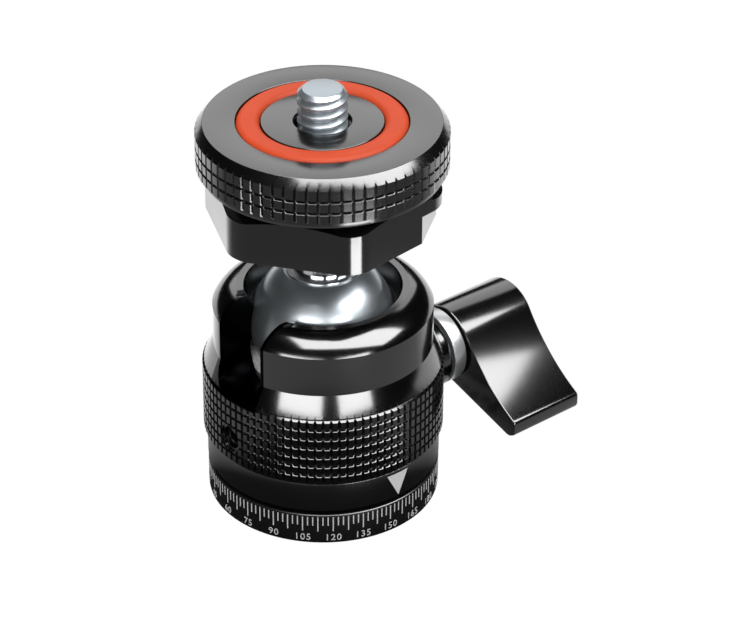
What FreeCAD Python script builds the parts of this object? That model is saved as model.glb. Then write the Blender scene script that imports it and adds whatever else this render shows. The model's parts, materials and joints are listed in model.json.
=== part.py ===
import FreeCAD, Part

import math
import os

import Sketcher

# A small ball head for a camera tripod, built as separate pieces.
# The origin is the middle of the base's underside and +Z runs up the pan axis.
# The clamp knob points along +X and the drop notch is cut towards -X. Sizes are in millimetres.

SIZES = {
    # Clearances used wherever two pieces meet
    "running_gap": "0.05",
    "slide_gap": "0.08",
    "seat_gap": "0.1",
    "edge": "0.25",
    "overrun": "0.5",

    # Standard threads: half of the outer diameter, and the wall left by the tap
    "camera_thread": "3.175",
    "camera_tapping": "0.575",
    "camera_tapped": "=camera_thread - camera_tapping",
    "m3_thread": "1.5",
    "m25_thread": "1.25",
    "clamp_thread": "2.5",

    # Ball and the widths that follow from it
    "ball_radius": "9.4",
    "seat_radius": "=ball_radius + seat_gap",
    "cavity_radius": "=seat_radius + seat_gap",
    "housing_wall": "6.05",
    "knurl_radius": "=cavity_radius + housing_wall",
    "collar_inset": "0.5",
    "collar_radius": "=knurl_radius - collar_inset",
    "base_radius": "=collar_radius - running_gap",
    "screw_wall": "2.6",
    "screw_circle": "=cavity_radius + screw_wall",

    # Pan base with its hub
    "base_height": "4.4",
    "base_chamfer": "0.3",
    "hub_room": "2.1",
    "hub_radius": "=cavity_radius - hub_room",
    "hub_rim": "0.25",
    "hub_roof": "1.8",
    "insert_wall": "2.15",
    "insert_radius": "=camera_tapped + insert_wall",

    # Index collar above the pan gap
    "pan_gap": "0.65",
    "collar_low": "=base_height + pan_gap",
    "collar_height": "4.15",
    "collar_web": "2.55",
    "collar_floor": "=collar_low + collar_web",
    "collar_top": "=collar_low + collar_height",
    "collar_bore": "=hub_radius + running_gap",
    "wave_thickness": "0.95",

    # Clip that holds the housing down on the hub
    "clip_groove_depth": "0.6",
    "clip_groove_radius": "=hub_radius - clip_groove_depth",
    "clip_room": "0.6",
    "clip_outer": "=cavity_radius - clip_room",
    "clip_thickness": "0.5",
    "clip_opening_half": "4.5",
    "clip_opening": "=2 * clip_opening_half",
    "clip_groove_low": "=collar_floor + wave_thickness",
    "clip_groove_high": "=clip_groove_low + clip_thickness + 2 * running_gap",
    "clip_low": "=clip_groove_low + running_gap",
    "clip_bore": "=clip_groove_radius + running_gap",
    "hub_top": "=clip_groove_high + hub_rim",
    "insert_height": "=hub_top - hub_roof",

    # Collar screws, driven from below through holes in the base
    "screw_head_radius": "1.95",
    "screw_head_sink": "0.3",
    "screw_head_height": "1.65",
    "screw_bite": "3.8",
    "screw_key": "0.75",
    "screw_key_depth": "0.9",
    "screw_head_low": "=collar_low + screw_head_sink",
    "screw_seat": "=screw_head_low + screw_head_height",
    "screw_tip": "=collar_top + screw_bite",
    "screw_length": "=screw_tip - screw_head_low",
    "screw_hole_top": "=screw_tip + overrun",
    "screw_hole_radius": "=m25_thread + running_gap",
    "counterbore_radius": "=screw_head_radius + seat_gap",
    "access_radius": "=counterbore_radius + running_gap",

    # Washers round the hub
    "washer_bore": "=hub_radius + seat_gap",
    "pan_washer_outer": "=screw_circle - access_radius - 2 * seat_gap",
    "wave_outer": "=clip_outer + 2 * seat_gap",

    # Clamp screw, its boss and its collar, along +X
    "clamp_rise": "3.6",
    "clamp_height": "=collar_top + clamp_rise",
    "clamp_tip_radius": "0.8",
    "clamp_cone": "=clamp_thread - clamp_tip_radius",
    "clamp_bore": "=clamp_thread + running_gap",
    "boss_radius": "5.2",
    "boss_root": "1.4",
    "boss_start": "=cavity_radius + boss_root",
    "boss_reach": "2.75",
    "boss_end": "=knurl_radius + boss_reach",
    "boss_rounding": "1.0",
    "clamp_collar_start": "=boss_end + seat_gap",
    "clamp_collar_length": "2.0",
    "clamp_collar_step": "0.12",
    "clamp_collar_radius": "=boss_radius - clamp_collar_step",
    "clamp_collar_end": "=clamp_collar_start + clamp_collar_length",

    # Seat pieces under the ball: the cup's bevel faces the two cone points
    "cone_gap": "0.4",
    "cup_low": "=clamp_height + clamp_tip_radius + cone_gap",
    "cup_radius": "=cavity_radius - slide_gap",
    "cup_bevel": "2.52",
    "cup_bevel_radius": "=cup_radius - cup_bevel",
    "cup_bevel_top": "=cup_low + cup_bevel",
    "cup_wall": "1.05",
    "cup_hole": "4.5",
    "cup_seat": "=ball_radius + running_gap",
    "ball_height": "=cup_low + cup_wall + cup_seat",
    "cup_rim_drop": "5.0",
    "cup_top": "=ball_height - cup_rim_drop",
    "cup_rim": "=sqrt(cup_seat * cup_seat - cup_rim_drop * cup_rim_drop)",
    "cup_hole_drop": "=sqrt(cup_seat * cup_seat - cup_hole * cup_hole)",
    "cup_hole_top": "=ball_height - cup_hole_drop",
    "ring_height": "0.95",
    "ring_low": "=cup_top + running_gap",
    "ring_top": "=ring_low + ring_height",
    "ring_low_drop": "=ball_height - ring_low",
    "ring_top_drop": "=ball_height - ring_top",
    "ring_low_bore": "=sqrt(seat_radius * seat_radius - ring_low_drop * ring_low_drop)",
    "ring_top_bore": "=sqrt(seat_radius * seat_radius - ring_top_drop * ring_top_drop)",
    "clamp_reach": "0.2",
    "clamp_tip": "=cup_bevel_radius - clamp_reach",

    # Ball, stem and the bolt up the middle, as distances from the ball's centre
    "stem_radius": "3.9",
    "stem_ledge": "1.2",
    "stem_length": "15.5",
    "stem_step": "0.9",
    "ball_flat_radius": "=stem_radius + stem_ledge",
    "ball_flat": "=sqrt(ball_radius * ball_radius - ball_flat_radius * ball_flat_radius)",
    "stub_radius": "=stem_radius - stem_step",
    "stub_rise": "4.0",
    "stub_length": "=stem_length + stub_rise",
    "bolt_radius": "2.0",
    "bolt_rise": "1.5",
    "bolt_top": "=stem_length + bolt_rise",
    "bolt_head_radius": "3.4",
    "bolt_head_height": "2.6",
    "bolt_head_sink": "0.54",
    "bolt_key": "1.5",
    "bolt_key_depth": "1.6",
    "bolt_bore": "=bolt_radius + running_gap",
    "bolt_bore_top": "=bolt_top + seat_gap",
    "bolt_head_bore": "=bolt_head_radius + running_gap",
    "bolt_rim_drop": "=sqrt(ball_radius * ball_radius - bolt_head_bore * bolt_head_bore)",
    "bolt_head_drop": "=bolt_rim_drop - bolt_head_sink",
    "bolt_seat_drop": "=bolt_head_drop - bolt_head_height",

    # Housing round the ball
    "groove_height": "0.25",
    "groove_top": "=collar_top + groove_height",
    "knurl_depth": "0.4",
    "knurl_flutes": "96",
    "knurl_drop": "5.45",
    "knurl_top": "=ball_height - knurl_drop",
    "shoulder_radius": "=knurl_radius - edge",
    "shoulder_drop": "5.1",
    "shoulder_low": "=ball_height - shoulder_drop",
    "shoulder_rounding": "8.0",
    "band_inset": "1.45",
    "band_radius": "=knurl_radius - band_inset",
    "band_drop": "2.5",
    "band_low": "=ball_height - band_drop",
    "band_rise": "2.5",
    "band_high": "=ball_height + band_rise",
    "dome_rise": "5.35",
    "dome_top": "=ball_height + dome_rise",
    "dome_inset": "2.9",
    "dome_radius": "=band_radius - dome_inset",
    "dome_rounding": "4.0",
    "lip_rise": "3.0",
    "lip_height": "=ball_height + lip_rise",
    "lip_radius": "=sqrt(seat_radius * seat_radius - lip_rise * lip_rise)",
    "funnel_width": "1.13",
    "funnel_radius": "=lip_radius + funnel_width",

    # Drop notch for the stem
    "stem_room": "0.25",
    "notch_half": "=stem_radius + stem_room",
    "notch_width": "=2 * notch_half",
    "notch_drop": "1.7",
    "notch_centre": "=ball_height - notch_drop",
    "notch_depth": "=dome_top - notch_centre",
    "notch_reach": "=knurl_radius + overrun",

    # Wing knob: outline in its own plane, across along the wing and drops below the screw
    "knob_gap": "0.4",
    "knob_start": "=clamp_collar_end + knob_gap",
    "knob_length": "11.6",
    "knob_end": "=knob_start + knob_length",
    "knob_radius": "5.35",
    "knob_drop": "0.15",
    "knob_edge": "0.6",
    "wing_neck_inset": "0.9",
    "wing_neck_across": "=knob_radius - wing_neck_inset",
    "wing_neck_rise": "2.8",
    "wing_reach": "9.0",
    "wing_tip_across": "=knob_radius + wing_reach",
    "wing_tip_drop": "5.9",
    "wing_tip_height": "1.9",
    "wing_tip_low": "=wing_tip_drop + wing_tip_height",
    "wing_end_inset": "1.15",
    "wing_end_across": "=wing_tip_across - wing_end_inset",
    "wing_end_step": "0.66",
    "wing_end_drop": "=wing_tip_low + wing_end_step",
    "wing_root_across": "1.55",
    "wing_root_inset": "0.07",
    "wing_root_drop": "=knob_radius - wing_root_inset",
    "wing_hollow": "26.0",
    "knob_spigot_radius": "3.6",
    "knob_spigot_start": "=clamp_collar_end + running_gap",
    "knob_spigot_length": "=knob_start - knob_spigot_start",
    "clamp_grip": "8.1",
    "clamp_end": "=knob_start + clamp_grip",
    "clamp_length": "=clamp_end - clamp_tip",
    "knob_hole_length": "=clamp_end - knob_spigot_start + seat_gap",
    "pin_radius": "0.8",
    "pin_inset": "4.6",
    "pin_place": "=knob_start + pin_inset",
    "pin_cover": "1.15",
    "pin_top": "=knob_radius - pin_cover",
    "pin_short": "1.5",
    "pin_length": "=2 * knob_radius - pin_short",

    # Drag screw opposite the knob
    "drag_sink": "1.05",
    "drag_end": "=knurl_radius - drag_sink",
    "drag_reach": "0.4",
    "drag_tip": "=cup_bevel_radius - drag_reach",
    "drag_tip_radius": "0.4",
    "drag_cone": "=m3_thread - drag_tip_radius",
    "drag_length": "=drag_end - drag_tip",
    "grub_bore": "=m3_thread + running_gap",
    "grub_key": "0.87",
    "grub_key_depth": "1.6",
    "grub_rim": "1.9",
    "grub_rim_depth": "0.65",
    "grub_rim_start": "=knurl_radius - grub_rim_depth",

    # Hexagonal platform
    "platform_low": "=ball_height + stem_length",
    "platform_height": "6.5",
    "platform_top": "=platform_low + platform_height",
    "platform_half": "13.8",
    "platform_hexagon": "=platform_half / cos(30 deg)",
    "platform_corner_rise": "1.7",
    "platform_corner": "=platform_half + platform_corner_rise",
    "platform_cone_drop": "1.35",
    "platform_cone_low": "=platform_top - platform_cone_drop",
    "platform_cone_inset": "1.0",
    "platform_cone_top": "=platform_half - platform_cone_inset",
    "platform_turn": "5.7",
    "flat_inset": "0.05",
    "flat_reach": "=platform_half - flat_inset",
    "flat_height": "4.05",
    "flat_half": "=platform_half / 2 + 3 * overrun",
    "flat_outside": "=platform_corner + overrun",
    "flat_turn": "=platform_turn - 60",
    "stub_bore": "=stub_radius + running_gap",
    "stub_top": "=ball_height + stub_length",
    "stub_room": "=stub_top + seat_gap",
    "set_screw_turn": "=platform_turn + 30",
    "set_screw_rise": "2.0",
    "set_screw_height": "=platform_low + set_screw_rise",
    "set_screw_length": "8.0",
    "set_screw_start": "=stub_radius + seat_gap",

    # Locking disc on the stud
    "disc_washer_thickness": "0.3",
    "disc_low": "=platform_top + disc_washer_thickness",
    "disc_lip_height": "0.8",
    "disc_lip_top": "=disc_low + disc_lip_height",
    "disc_radius": "15.9",
    "disc_lip_inset": "0.55",
    "disc_lip_radius": "=disc_radius - disc_lip_inset",
    "disc_knurl_depth": "0.4",
    "disc_knurl_height": "4.7",
    "disc_flutes": "70",
    "disc_knurl_top": "=disc_lip_top + disc_knurl_height",
    "disc_chamfer_height": "1.2",
    "disc_top": "=disc_knurl_top + disc_chamfer_height",
    "disc_top_inset": "0.95",
    "disc_top_radius": "=disc_radius - disc_top_inset",
    "disc_bore": "=camera_thread + running_gap",
    "disc_mouth_depth": "0.5",
    "disc_mouth": "=disc_bore + disc_mouth_depth",
    "disc_mouth_low": "=disc_top - disc_mouth_depth",
    "disc_washer_outer": "9.0",
    "disc_washer_bore": "=camera_thread + seat_gap",
    "ring_groove_inner": "7.68",
    "ring_groove_width": "3.19",
    "ring_groove_outer": "=ring_groove_inner + ring_groove_width",
    "ring_groove_depth": "1.6",
    "ring_groove_low": "=disc_top - ring_groove_depth",
    "grip_inner": "=ring_groove_inner + running_gap",
    "grip_outer": "=ring_groove_outer - running_gap",
    "grip_proud": "0.3",
    "grip_rounding": "=3 * grip_proud",
    "grip_side": "=disc_top - 2 * grip_proud",
    "grip_top": "=disc_top + grip_proud",
    "grip_flat_inner": "=grip_inner + grip_rounding",
    "grip_flat_outer": "=grip_outer - grip_rounding",

    # Camera stud: its free thread starts above the grip ring, over a short groove
    "stud_low": "=stub_top + 2 * seat_gap",
    "stud_groove_height": "0.65",
    "stud_groove_depth": "0.6",
    "stud_groove_radius": "=camera_thread - stud_groove_depth",
    "stud_thread_low": "=grip_top + seat_gap",
    "stud_groove_low": "=stud_thread_low - stud_groove_height",
    "stud_height": "4.5",
    "stud_top": "=disc_top + stud_height",
    "stud_point": "0.65",
    "stud_point_radius": "=camera_thread - stud_point",
    "stud_point_low": "=stud_top - stud_point",
}

doc = FreeCAD.newDocument("ball_head")
sheet = doc.addObject("Spreadsheet::Sheet", "Sizes")
for row, (alias, content) in enumerate(SIZES.items(), start=1):
    sheet.set(f"A{row}", alias)
    sheet.set(f"B{row}", content)
    sheet.setAlias(f"B{row}", alias)
doc.recompute()

X_AXIS = FreeCAD.Vector(1, 0, 0)
Y_AXIS = FreeCAD.Vector(0, 1, 0)
Z_AXIS = FreeCAD.Vector(0, 0, 1)
SCREW_ANGLES = (90, 210, 330)
FLUTE_SHARE = 0.92  # how much of the rim the flutes take, measured at its crest


def size(text):
    """Work out a sum of sheet names and numbers, such as "disc_top - edge"."""
    total = 0.0
    sign = 1
    for word in text.split():
        if word in ("+", "-"):
            sign = 1 if word == "+" else -1
        else:
            total += sign * float(sheet.get(word) if word.isidentifier() else word)
            sign = 1
    return total


def formula(text):
    """Write the same sum as an expression that reads the sheet."""
    return " ".join(f"Sizes.{word}" if word.isidentifier() else word for word in text.split())


def bind(item, **properties):
    """Tie properties of a document object to sums of sheet names."""
    for name, text in properties.items():
        item.setExpression(name.replace("_", "."), formula(text))
    return item


def place(item, x="0", y="0", z="0", turn=None):
    """Move a piece to its place, with the distances read from the sheet."""
    item.Placement = FreeCAD.Placement(FreeCAD.Vector(), turn or FreeCAD.Rotation())
    return bind(item, Placement_Base_x=x, Placement_Base_y=y, Placement_Base_z=z)


def pin_point(sketch, edge, end, distance_x, distance_y):
    """Hold one end of a sketch line at two distances from the sketch's origin."""
    for kind, axis, text in (("DistanceX", -2, distance_x), ("DistanceY", -1, distance_y)):
        if text == "0":
            sketch.addConstraint(Sketcher.Constraint("PointOnObject", edge, end, axis))
        else:
            held = Sketcher.Constraint(kind, -1, 1, edge, end, size(text))
            number = sketch.addConstraint(held)
            sketch.setExpression(f"Constraints[{number}]", formula(text))


def arc_between(start, end, radius, side):
    """Make the short arc of this radius; side 1 puts its centre left of the way travelled."""
    middle = (start + end) * 0.5
    across = Z_AXIS.cross(end - start).normalize()
    reach = math.sqrt(max(radius ** 2 - (end - start).Length ** 2 / 4, 0))
    centre = middle + across * (reach * side)
    angles = []
    for point in (start, end):
        angles.append(math.atan2(point.y - centre.y, point.x - centre.x))
    if side < 0:
        angles.reverse()
    return Part.ArcOfCircle(Part.Circle(centre, Z_AXIS, radius), *angles)


def outline_sketch(body, name, plane_role, outline):
    """Draw a closed outline. Each row is x, y and, where an arc leaves it, radius and side."""
    sketch = body.newObject("Sketcher::SketchObject", name)
    plane = [part for part in body.Origin.OriginFeatures if part.Role == plane_role][0]
    sketch.AttachmentSupport = [(plane, "")]
    sketch.MapMode = "FlatFace"
    points = [FreeCAD.Vector(size(row[0]), size(row[1]), 0) for row in outline]
    for number, row in enumerate(outline):
        start = points[number]
        end = points[(number + 1) % len(points)]
        if len(row) == 4:
            sketch.addGeometry(arc_between(start, end, size(row[2]), row[3]), False)
        else:
            sketch.addGeometry(Part.LineSegment(start, end), False)

    def start_end(number):
        row = outline[number]
        return (2, 1) if len(row) == 4 and row[3] < 0 else (1, 2)

    for number, row in enumerate(outline):
        following = (number + 1) % len(outline)
        joined = (number, start_end(number)[1], following, start_end(following)[0])
        sketch.addConstraint(Sketcher.Constraint("Coincident", *joined))
    for number, row in enumerate(outline):
        pin_point(sketch, number, start_end(number)[0], row[0], row[1])
        if len(row) == 4:
            held = sketch.addConstraint(Sketcher.Constraint("Radius", number, size(row[2])))
            sketch.setExpression(f"Constraints[{held}]", formula(row[2]))
    return sketch


def turned(name, outline):
    """Turn an outline of radius and height round the Z axis."""
    body = doc.addObject("PartDesign::Body", name)
    sketch = outline_sketch(body, f"{name}_outline", "XZ_Plane", outline)
    revolution = body.newObject("PartDesign::Revolution", f"{name}_turned")
    revolution.Profile = sketch
    revolution.ReferenceAxis = (sketch, ["V_Axis"])
    revolution.Angle = 360
    return body


def tube(name, inner, outer, height):
    """Turn a plain ring that stands on z 0."""
    return turned(name, [(inner, "0"), (outer, "0"), (outer, height), (inner, height)])


def cylinder(name, radius, height):
    return bind(doc.addObject("Part::Cylinder", name), Radius=radius, Height=height)


def hexagon_bar(name, radius, height):
    """Make a six-sided bar, for hex keys and the platform."""
    bar = doc.addObject("Part::Prism", name)
    bar.Polygon = 6
    return bind(bar, Circumradius=radius, Height=height)


def joined(name, pieces):
    fused = doc.addObject("Part::MultiFuse", name)
    fused.Shapes = pieces
    return fused


def cut(name, base, tools):
    """Take one or more tools away from a solid."""
    result = doc.addObject("Part::Cut", name)
    result.Base = base
    result.Tool = tools[0] if len(tools) == 1 else joined(f"{name}_tools", tools)
    return result


def ring_of(name, make, angles, radius_text, z):
    """Place one copy of a tool or screw at each angle round the Z axis."""
    copies = []
    for number, angle in enumerate(angles):
        copy = make(f"{name}_{number + 1}")
        copy.Placement = FreeCAD.Placement(FreeCAD.Vector(), FreeCAD.Rotation(Z_AXIS, angle))
        radius = formula(radius_text)
        copy.setExpression("Placement.Base.x", f"({radius}) * cos({angle} deg)")
        copy.setExpression("Placement.Base.y", f"({radius}) * sin({angle} deg)")
        bind(copy, Placement_Base_z=z)
        copies.append(copy)
    return copies


def flutes(name, count, crest, depth, low, high):
    """Make the row of V-shaped cutters that leaves straight flutes round a rim."""
    number = int(size(count))
    root = size(f"{crest} - {depth}")
    outside = size(crest) + size(depth)
    half = FLUTE_SHARE * math.pi / number * (outside - root) / size(depth)
    cutters = []
    for step in range(number):
        middle = 2 * math.pi * step / number
        corners = []
        for radius, angle in ((root, 0), (outside, -half), (outside, half), (root, 0)):
            x = radius * math.cos(middle + angle)
            y = radius * math.sin(middle + angle)
            corners.append(FreeCAD.Vector(x, y, 0))
        face = Part.Face(Part.makePolygon(corners))
        cutters.append(face.extrude(Z_AXIS * size(f"{high} - {low}")))
    row = doc.addObject("Part::Feature", name)
    row.Shape = Part.makeCompound(cutters)
    return place(row, z=low)


def grub_screw(name, length, tip_radius, cone):
    """Make a headless screw along Z, its point at z 0 and its hex socket on top."""
    blank = turned(f"{name}_blank", [
        ("0", "0"),
        (tip_radius, "0"),
        ("m3_thread", cone),
        ("m3_thread", f"{length} - edge"),
        ("m3_thread - edge", length),
        ("0", length),
    ])
    key = place(hexagon_bar(f"{name}_key", "grub_key", "grub_key_depth + edge"),
                z=f"{length} - grub_key_depth")
    return cut(name, blank, [key])


TOWARDS_X = FreeCAD.Rotation(Y_AXIS, 90)
WING_SIDEWAYS = FreeCAD.Rotation(-Y_AXIS, Z_AXIS, -X_AXIS, "ZXY")
TOWARDS_MINUS_X = FreeCAD.Rotation(Y_AXIS, -90)

# Pan base
base_blank = turned("pan_base_blank", [
    ("insert_radius", "0"),
    ("base_radius - base_chamfer", "0"),
    ("base_radius", "base_chamfer"),
    ("base_radius", "base_height - edge"),
    ("base_radius - edge", "base_height"),
    ("hub_radius", "base_height"),
    ("hub_radius", "clip_groove_low"),
    ("clip_groove_radius", "clip_groove_low"),
    ("clip_groove_radius", "clip_groove_high"),
    ("hub_radius", "clip_groove_high"),
    ("hub_radius", "hub_top"),
    ("0", "hub_top"),
    ("0", "insert_height"),
    ("insert_radius", "insert_height"),
])
access_holes = ring_of(
    "access_hole", lambda name: cylinder(name, "access_radius", "base_height + edge + edge"),
    SCREW_ANGLES, "screw_circle", "0 - edge")
pan_base = cut("pan_base", base_blank, access_holes)

# Threaded insert in the base
thread_insert = tube("thread_insert", "camera_tapped", "insert_radius", "insert_height")

# Open ring in the hub's groove
clip_ring = place(tube("clip_full", "clip_bore", "clip_outer", "clip_thickness"), z="clip_low")
clip_gap = bind(doc.addObject("Part::Box", "clip_gap"), Length="clip_outer", Width="clip_opening",
                Height="clip_thickness + edge + edge")
place(clip_gap, y="0 - clip_opening_half", z="clip_low - edge")
retaining_ring = cut("retaining_ring", clip_ring, [clip_gap])

# Washers round the hub
pan_washer = place(tube("pan_washer", "washer_bore", "pan_washer_outer", "pan_gap"),
                   z="base_height")
wave_washer = place(tube("wave_washer", "washer_bore", "wave_outer", "wave_thickness"),
                    z="collar_floor")

# Index collar under the housing
collar_blank = turned("index_collar_blank", [
    ("collar_bore", "collar_low"),
    ("collar_radius - edge", "collar_low"),
    ("collar_radius", "collar_low + edge"),
    ("collar_radius", "collar_top"),
    ("cavity_radius", "collar_top"),
    ("cavity_radius", "collar_floor"),
    ("collar_bore", "collar_floor"),
])
counterbores = ring_of(
    "counterbore", lambda name: cylinder(name, "counterbore_radius", "screw_seat - collar_low + edge"),
    SCREW_ANGLES, "screw_circle", "collar_low - edge")
collar_holes = ring_of(
    "collar_hole",
    lambda name: cylinder(name, "screw_hole_radius", "collar_top - screw_seat + overrun + overrun"),
    SCREW_ANGLES, "screw_circle", "screw_seat - overrun")
index_collar = cut("index_collar", collar_blank, counterbores + collar_holes)


# Screws through the collar into the housing
def collar_screw(name):
    """Make one screw, its head down at z 0."""
    blank = turned(f"{name}_blank", [
        ("0", "0"),
        ("screw_head_radius - edge", "0"),
        ("screw_head_radius", "edge"),
        ("screw_head_radius", "screw_head_height"),
        ("m25_thread", "screw_head_height"),
        ("m25_thread", "screw_length - edge"),
        ("m25_thread - edge", "screw_length"),
        ("0", "screw_length"),
    ])
    key = place(hexagon_bar(f"{name}_key", "screw_key", "screw_key_depth + edge"), z="0 - edge")
    return cut(name, blank, [key])


collar_screws = doc.addObject("Part::Compound", "collar_screws")
collar_screws.Links = ring_of("collar_screw", collar_screw, SCREW_ANGLES, "screw_circle",
                              "screw_head_low")

# Housing: knurled ring, shoulder, band, dome and the seat over the ball
housing_blank = turned("housing_blank", [
    ("cavity_radius", "collar_top"),
    ("collar_radius", "collar_top"),
    ("collar_radius", "groove_top"),
    ("knurl_radius - edge", "groove_top"),
    ("knurl_radius", "groove_top + edge"),
    ("knurl_radius", "knurl_top - edge"),
    ("shoulder_radius", "knurl_top"),
    ("shoulder_radius", "shoulder_low", "shoulder_rounding", 1),
    ("band_radius", "band_low"),
    ("band_radius", "band_high", "dome_rounding", 1),
    ("dome_radius", "dome_top"),
    ("funnel_radius", "dome_top"),
    ("lip_radius", "lip_height", "seat_radius", -1),
    ("seat_radius", "ball_height"),
    ("cavity_radius", "ball_height"),
])
boss_blank = turned("boss", [
    ("0", "boss_start"),
    ("boss_radius", "boss_start"),
    ("boss_radius", "boss_end - boss_rounding", "boss_rounding", 1),
    ("boss_radius - boss_rounding", "boss_end"),
    ("0", "boss_end"),
])
place(boss_blank, z="clamp_height", turn=TOWARDS_X)
knurl_cutters = flutes("housing_flutes", "knurl_flutes", "knurl_radius", "knurl_depth",
                       "collar_top", "shoulder_low")
fluted = cut("housing_fluted", housing_blank, [knurl_cutters])
bossed = joined("housing_bossed", [fluted, boss_blank])

notch_round = place(cylinder("notch_round", "notch_half", "notch_reach"),
                    z="notch_centre", turn=TOWARDS_MINUS_X)
notch_box = bind(doc.addObject("Part::Box", "notch_box"), Length="notch_reach",
                 Width="notch_width", Height="notch_depth + edge")
place(notch_box, x="0 - notch_reach", y="0 - notch_half", z="notch_centre")
clamp_hole = place(cylinder("clamp_hole", "clamp_bore", "boss_end - clamp_tip + edge"),
                   x="clamp_tip", z="clamp_height", turn=TOWARDS_X)
collar_room = place(cylinder("collar_room", "collar_radius + seat_gap", "collar_top - collar_low"),
                    z="collar_low")
cavity = place(cylinder("cavity", "cavity_radius", "ball_height - collar_top + edge"),
               z="collar_top - edge")
grub_hole = place(cylinder("grub_hole", "grub_bore", "knurl_radius"),
                  x="0 - cup_bevel_radius", z="clamp_height", turn=TOWARDS_MINUS_X)
grub_recess = place(cylinder("grub_recess", "grub_rim", "knurl_depth + overrun + overrun"),
                    x="0 - grub_rim_start", z="clamp_height", turn=TOWARDS_MINUS_X)
screw_holes = ring_of(
    "screw_hole", lambda name: cylinder(name, "screw_hole_radius", "screw_hole_top - collar_top + edge"),
    SCREW_ANGLES, "screw_circle", "collar_top - edge")
housing = cut("housing", bossed, [notch_round, notch_box, clamp_hole, collar_room, cavity, grub_hole,
                                grub_recess] + screw_holes)

# Drag screw under the notch
drag_screw = place(grub_screw("drag_screw", "drag_length", "drag_tip_radius", "drag_cone"),
                   x="0 - drag_tip", z="clamp_height", turn=TOWARDS_MINUS_X)

# Pressure cup and friction ring under the ball
pressure_cup = turned("pressure_cup", [
    ("cup_hole", "cup_low"),
    ("cup_bevel_radius", "cup_low"),
    ("cup_radius", "cup_bevel_top"),
    ("cup_radius", "cup_top"),
    ("cup_rim", "cup_top", "cup_seat", -1),
    ("cup_hole", "cup_hole_top"),
])
friction_ring = turned("friction_ring", [
    ("ring_low_bore", "ring_low"),
    ("cup_radius", "ring_low"),
    ("cup_radius", "ring_top"),
    ("ring_top_bore", "ring_top", "seat_radius", -1),
])

# Clamp screw with its cone point, and the bright collar it passes through
screw_blank = place(turned("clamp_screw_blank", [
    ("0", "0"),
    ("clamp_tip_radius", "0"),
    ("clamp_thread", "clamp_cone"),
    ("clamp_thread", "clamp_length - edge"),
    ("clamp_thread - edge", "clamp_length"),
    ("0", "clamp_length"),
]), x="clamp_tip", z="clamp_height", turn=TOWARDS_X)
clamp_collar = place(turned("clamp_collar", [
    ("clamp_bore", "0"),
    ("clamp_collar_radius - edge", "0"),
    ("clamp_collar_radius", "edge"),
    ("clamp_collar_radius", "clamp_collar_length - edge"),
    ("clamp_collar_radius - edge", "clamp_collar_length"),
    ("clamp_bore", "clamp_collar_length"),
]), x="clamp_collar_start", z="clamp_height", turn=TOWARDS_X)

# Wing knob: a round head with one tapering wing, drawn in the plane across the screw
wing_body = doc.addObject("PartDesign::Body", "wing")
wing_sketch = outline_sketch(wing_body, "wing_outline", "XY_Plane", [
    ("wing_neck_across", "wing_neck_rise", "wing_hollow", 1),
    ("wing_tip_across", "0 - wing_tip_drop"),
    ("wing_tip_across", "0 - wing_tip_low"),
    ("wing_end_across", "0 - wing_end_drop"),
    ("wing_root_across", "0 - wing_root_drop"),
    ("0", "wing_neck_rise"),
])
wing_pad = wing_body.newObject("PartDesign::Pad", "wing_pad")
wing_pad.Profile = wing_sketch
bind(wing_pad, Length="knob_length")
knob_head = place(cylinder("knob_head", "knob_radius", "knob_length"), y="0 - knob_drop")
knob_solid = doc.addObject("Part::MultiFuse", "knob_solid")
knob_solid.Shapes = [wing_body, knob_head]
knob_solid.Refine = True
doc.recompute()

end_edges = []
for number, edge in enumerate(knob_solid.Shape.Edges, start=1):
    heights = [vertex.Z for vertex in edge.Vertexes]
    if max(heights) < 1e-6:
        end_edges.append((number, size("knob_edge"), size("knob_edge")))
knob_rounded = doc.addObject("Part::Fillet", "knob_rounded")
knob_rounded.Base = knob_solid
knob_rounded.Edges = end_edges
doc.recompute()
place(knob_rounded, x="knob_end", z="clamp_height", turn=WING_SIDEWAYS)
knob_spigot = place(cylinder("knob_spigot", "knob_spigot_radius", "knob_spigot_length + overrun"),
                    x="knob_spigot_start", z="clamp_height", turn=TOWARDS_X)
knob_whole = joined("knob_whole", [knob_rounded, knob_spigot])


def pin_piece(name, extra):
    """Make the cross pin, or the hole for it with some extra length below."""
    length = f"pin_length + {extra}"
    return place(cylinder(name, "pin_radius", length), x="pin_place",
                 z=f"clamp_height + pin_top - pin_length - {extra}")


knob_hole = place(cylinder("knob_hole", "clamp_thread", "knob_hole_length"),
                  x="knob_spigot_start", z="clamp_height", turn=TOWARDS_X)
wing_knob = cut("wing_knob", knob_whole, [knob_hole, pin_piece("knob_pin_hole", "pin_radius")])
clamp_screw = cut("clamp_screw", screw_blank, [pin_piece("screw_pin_hole", "pin_radius")])
knob_pin = pin_piece("knob_pin", "0")

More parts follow.
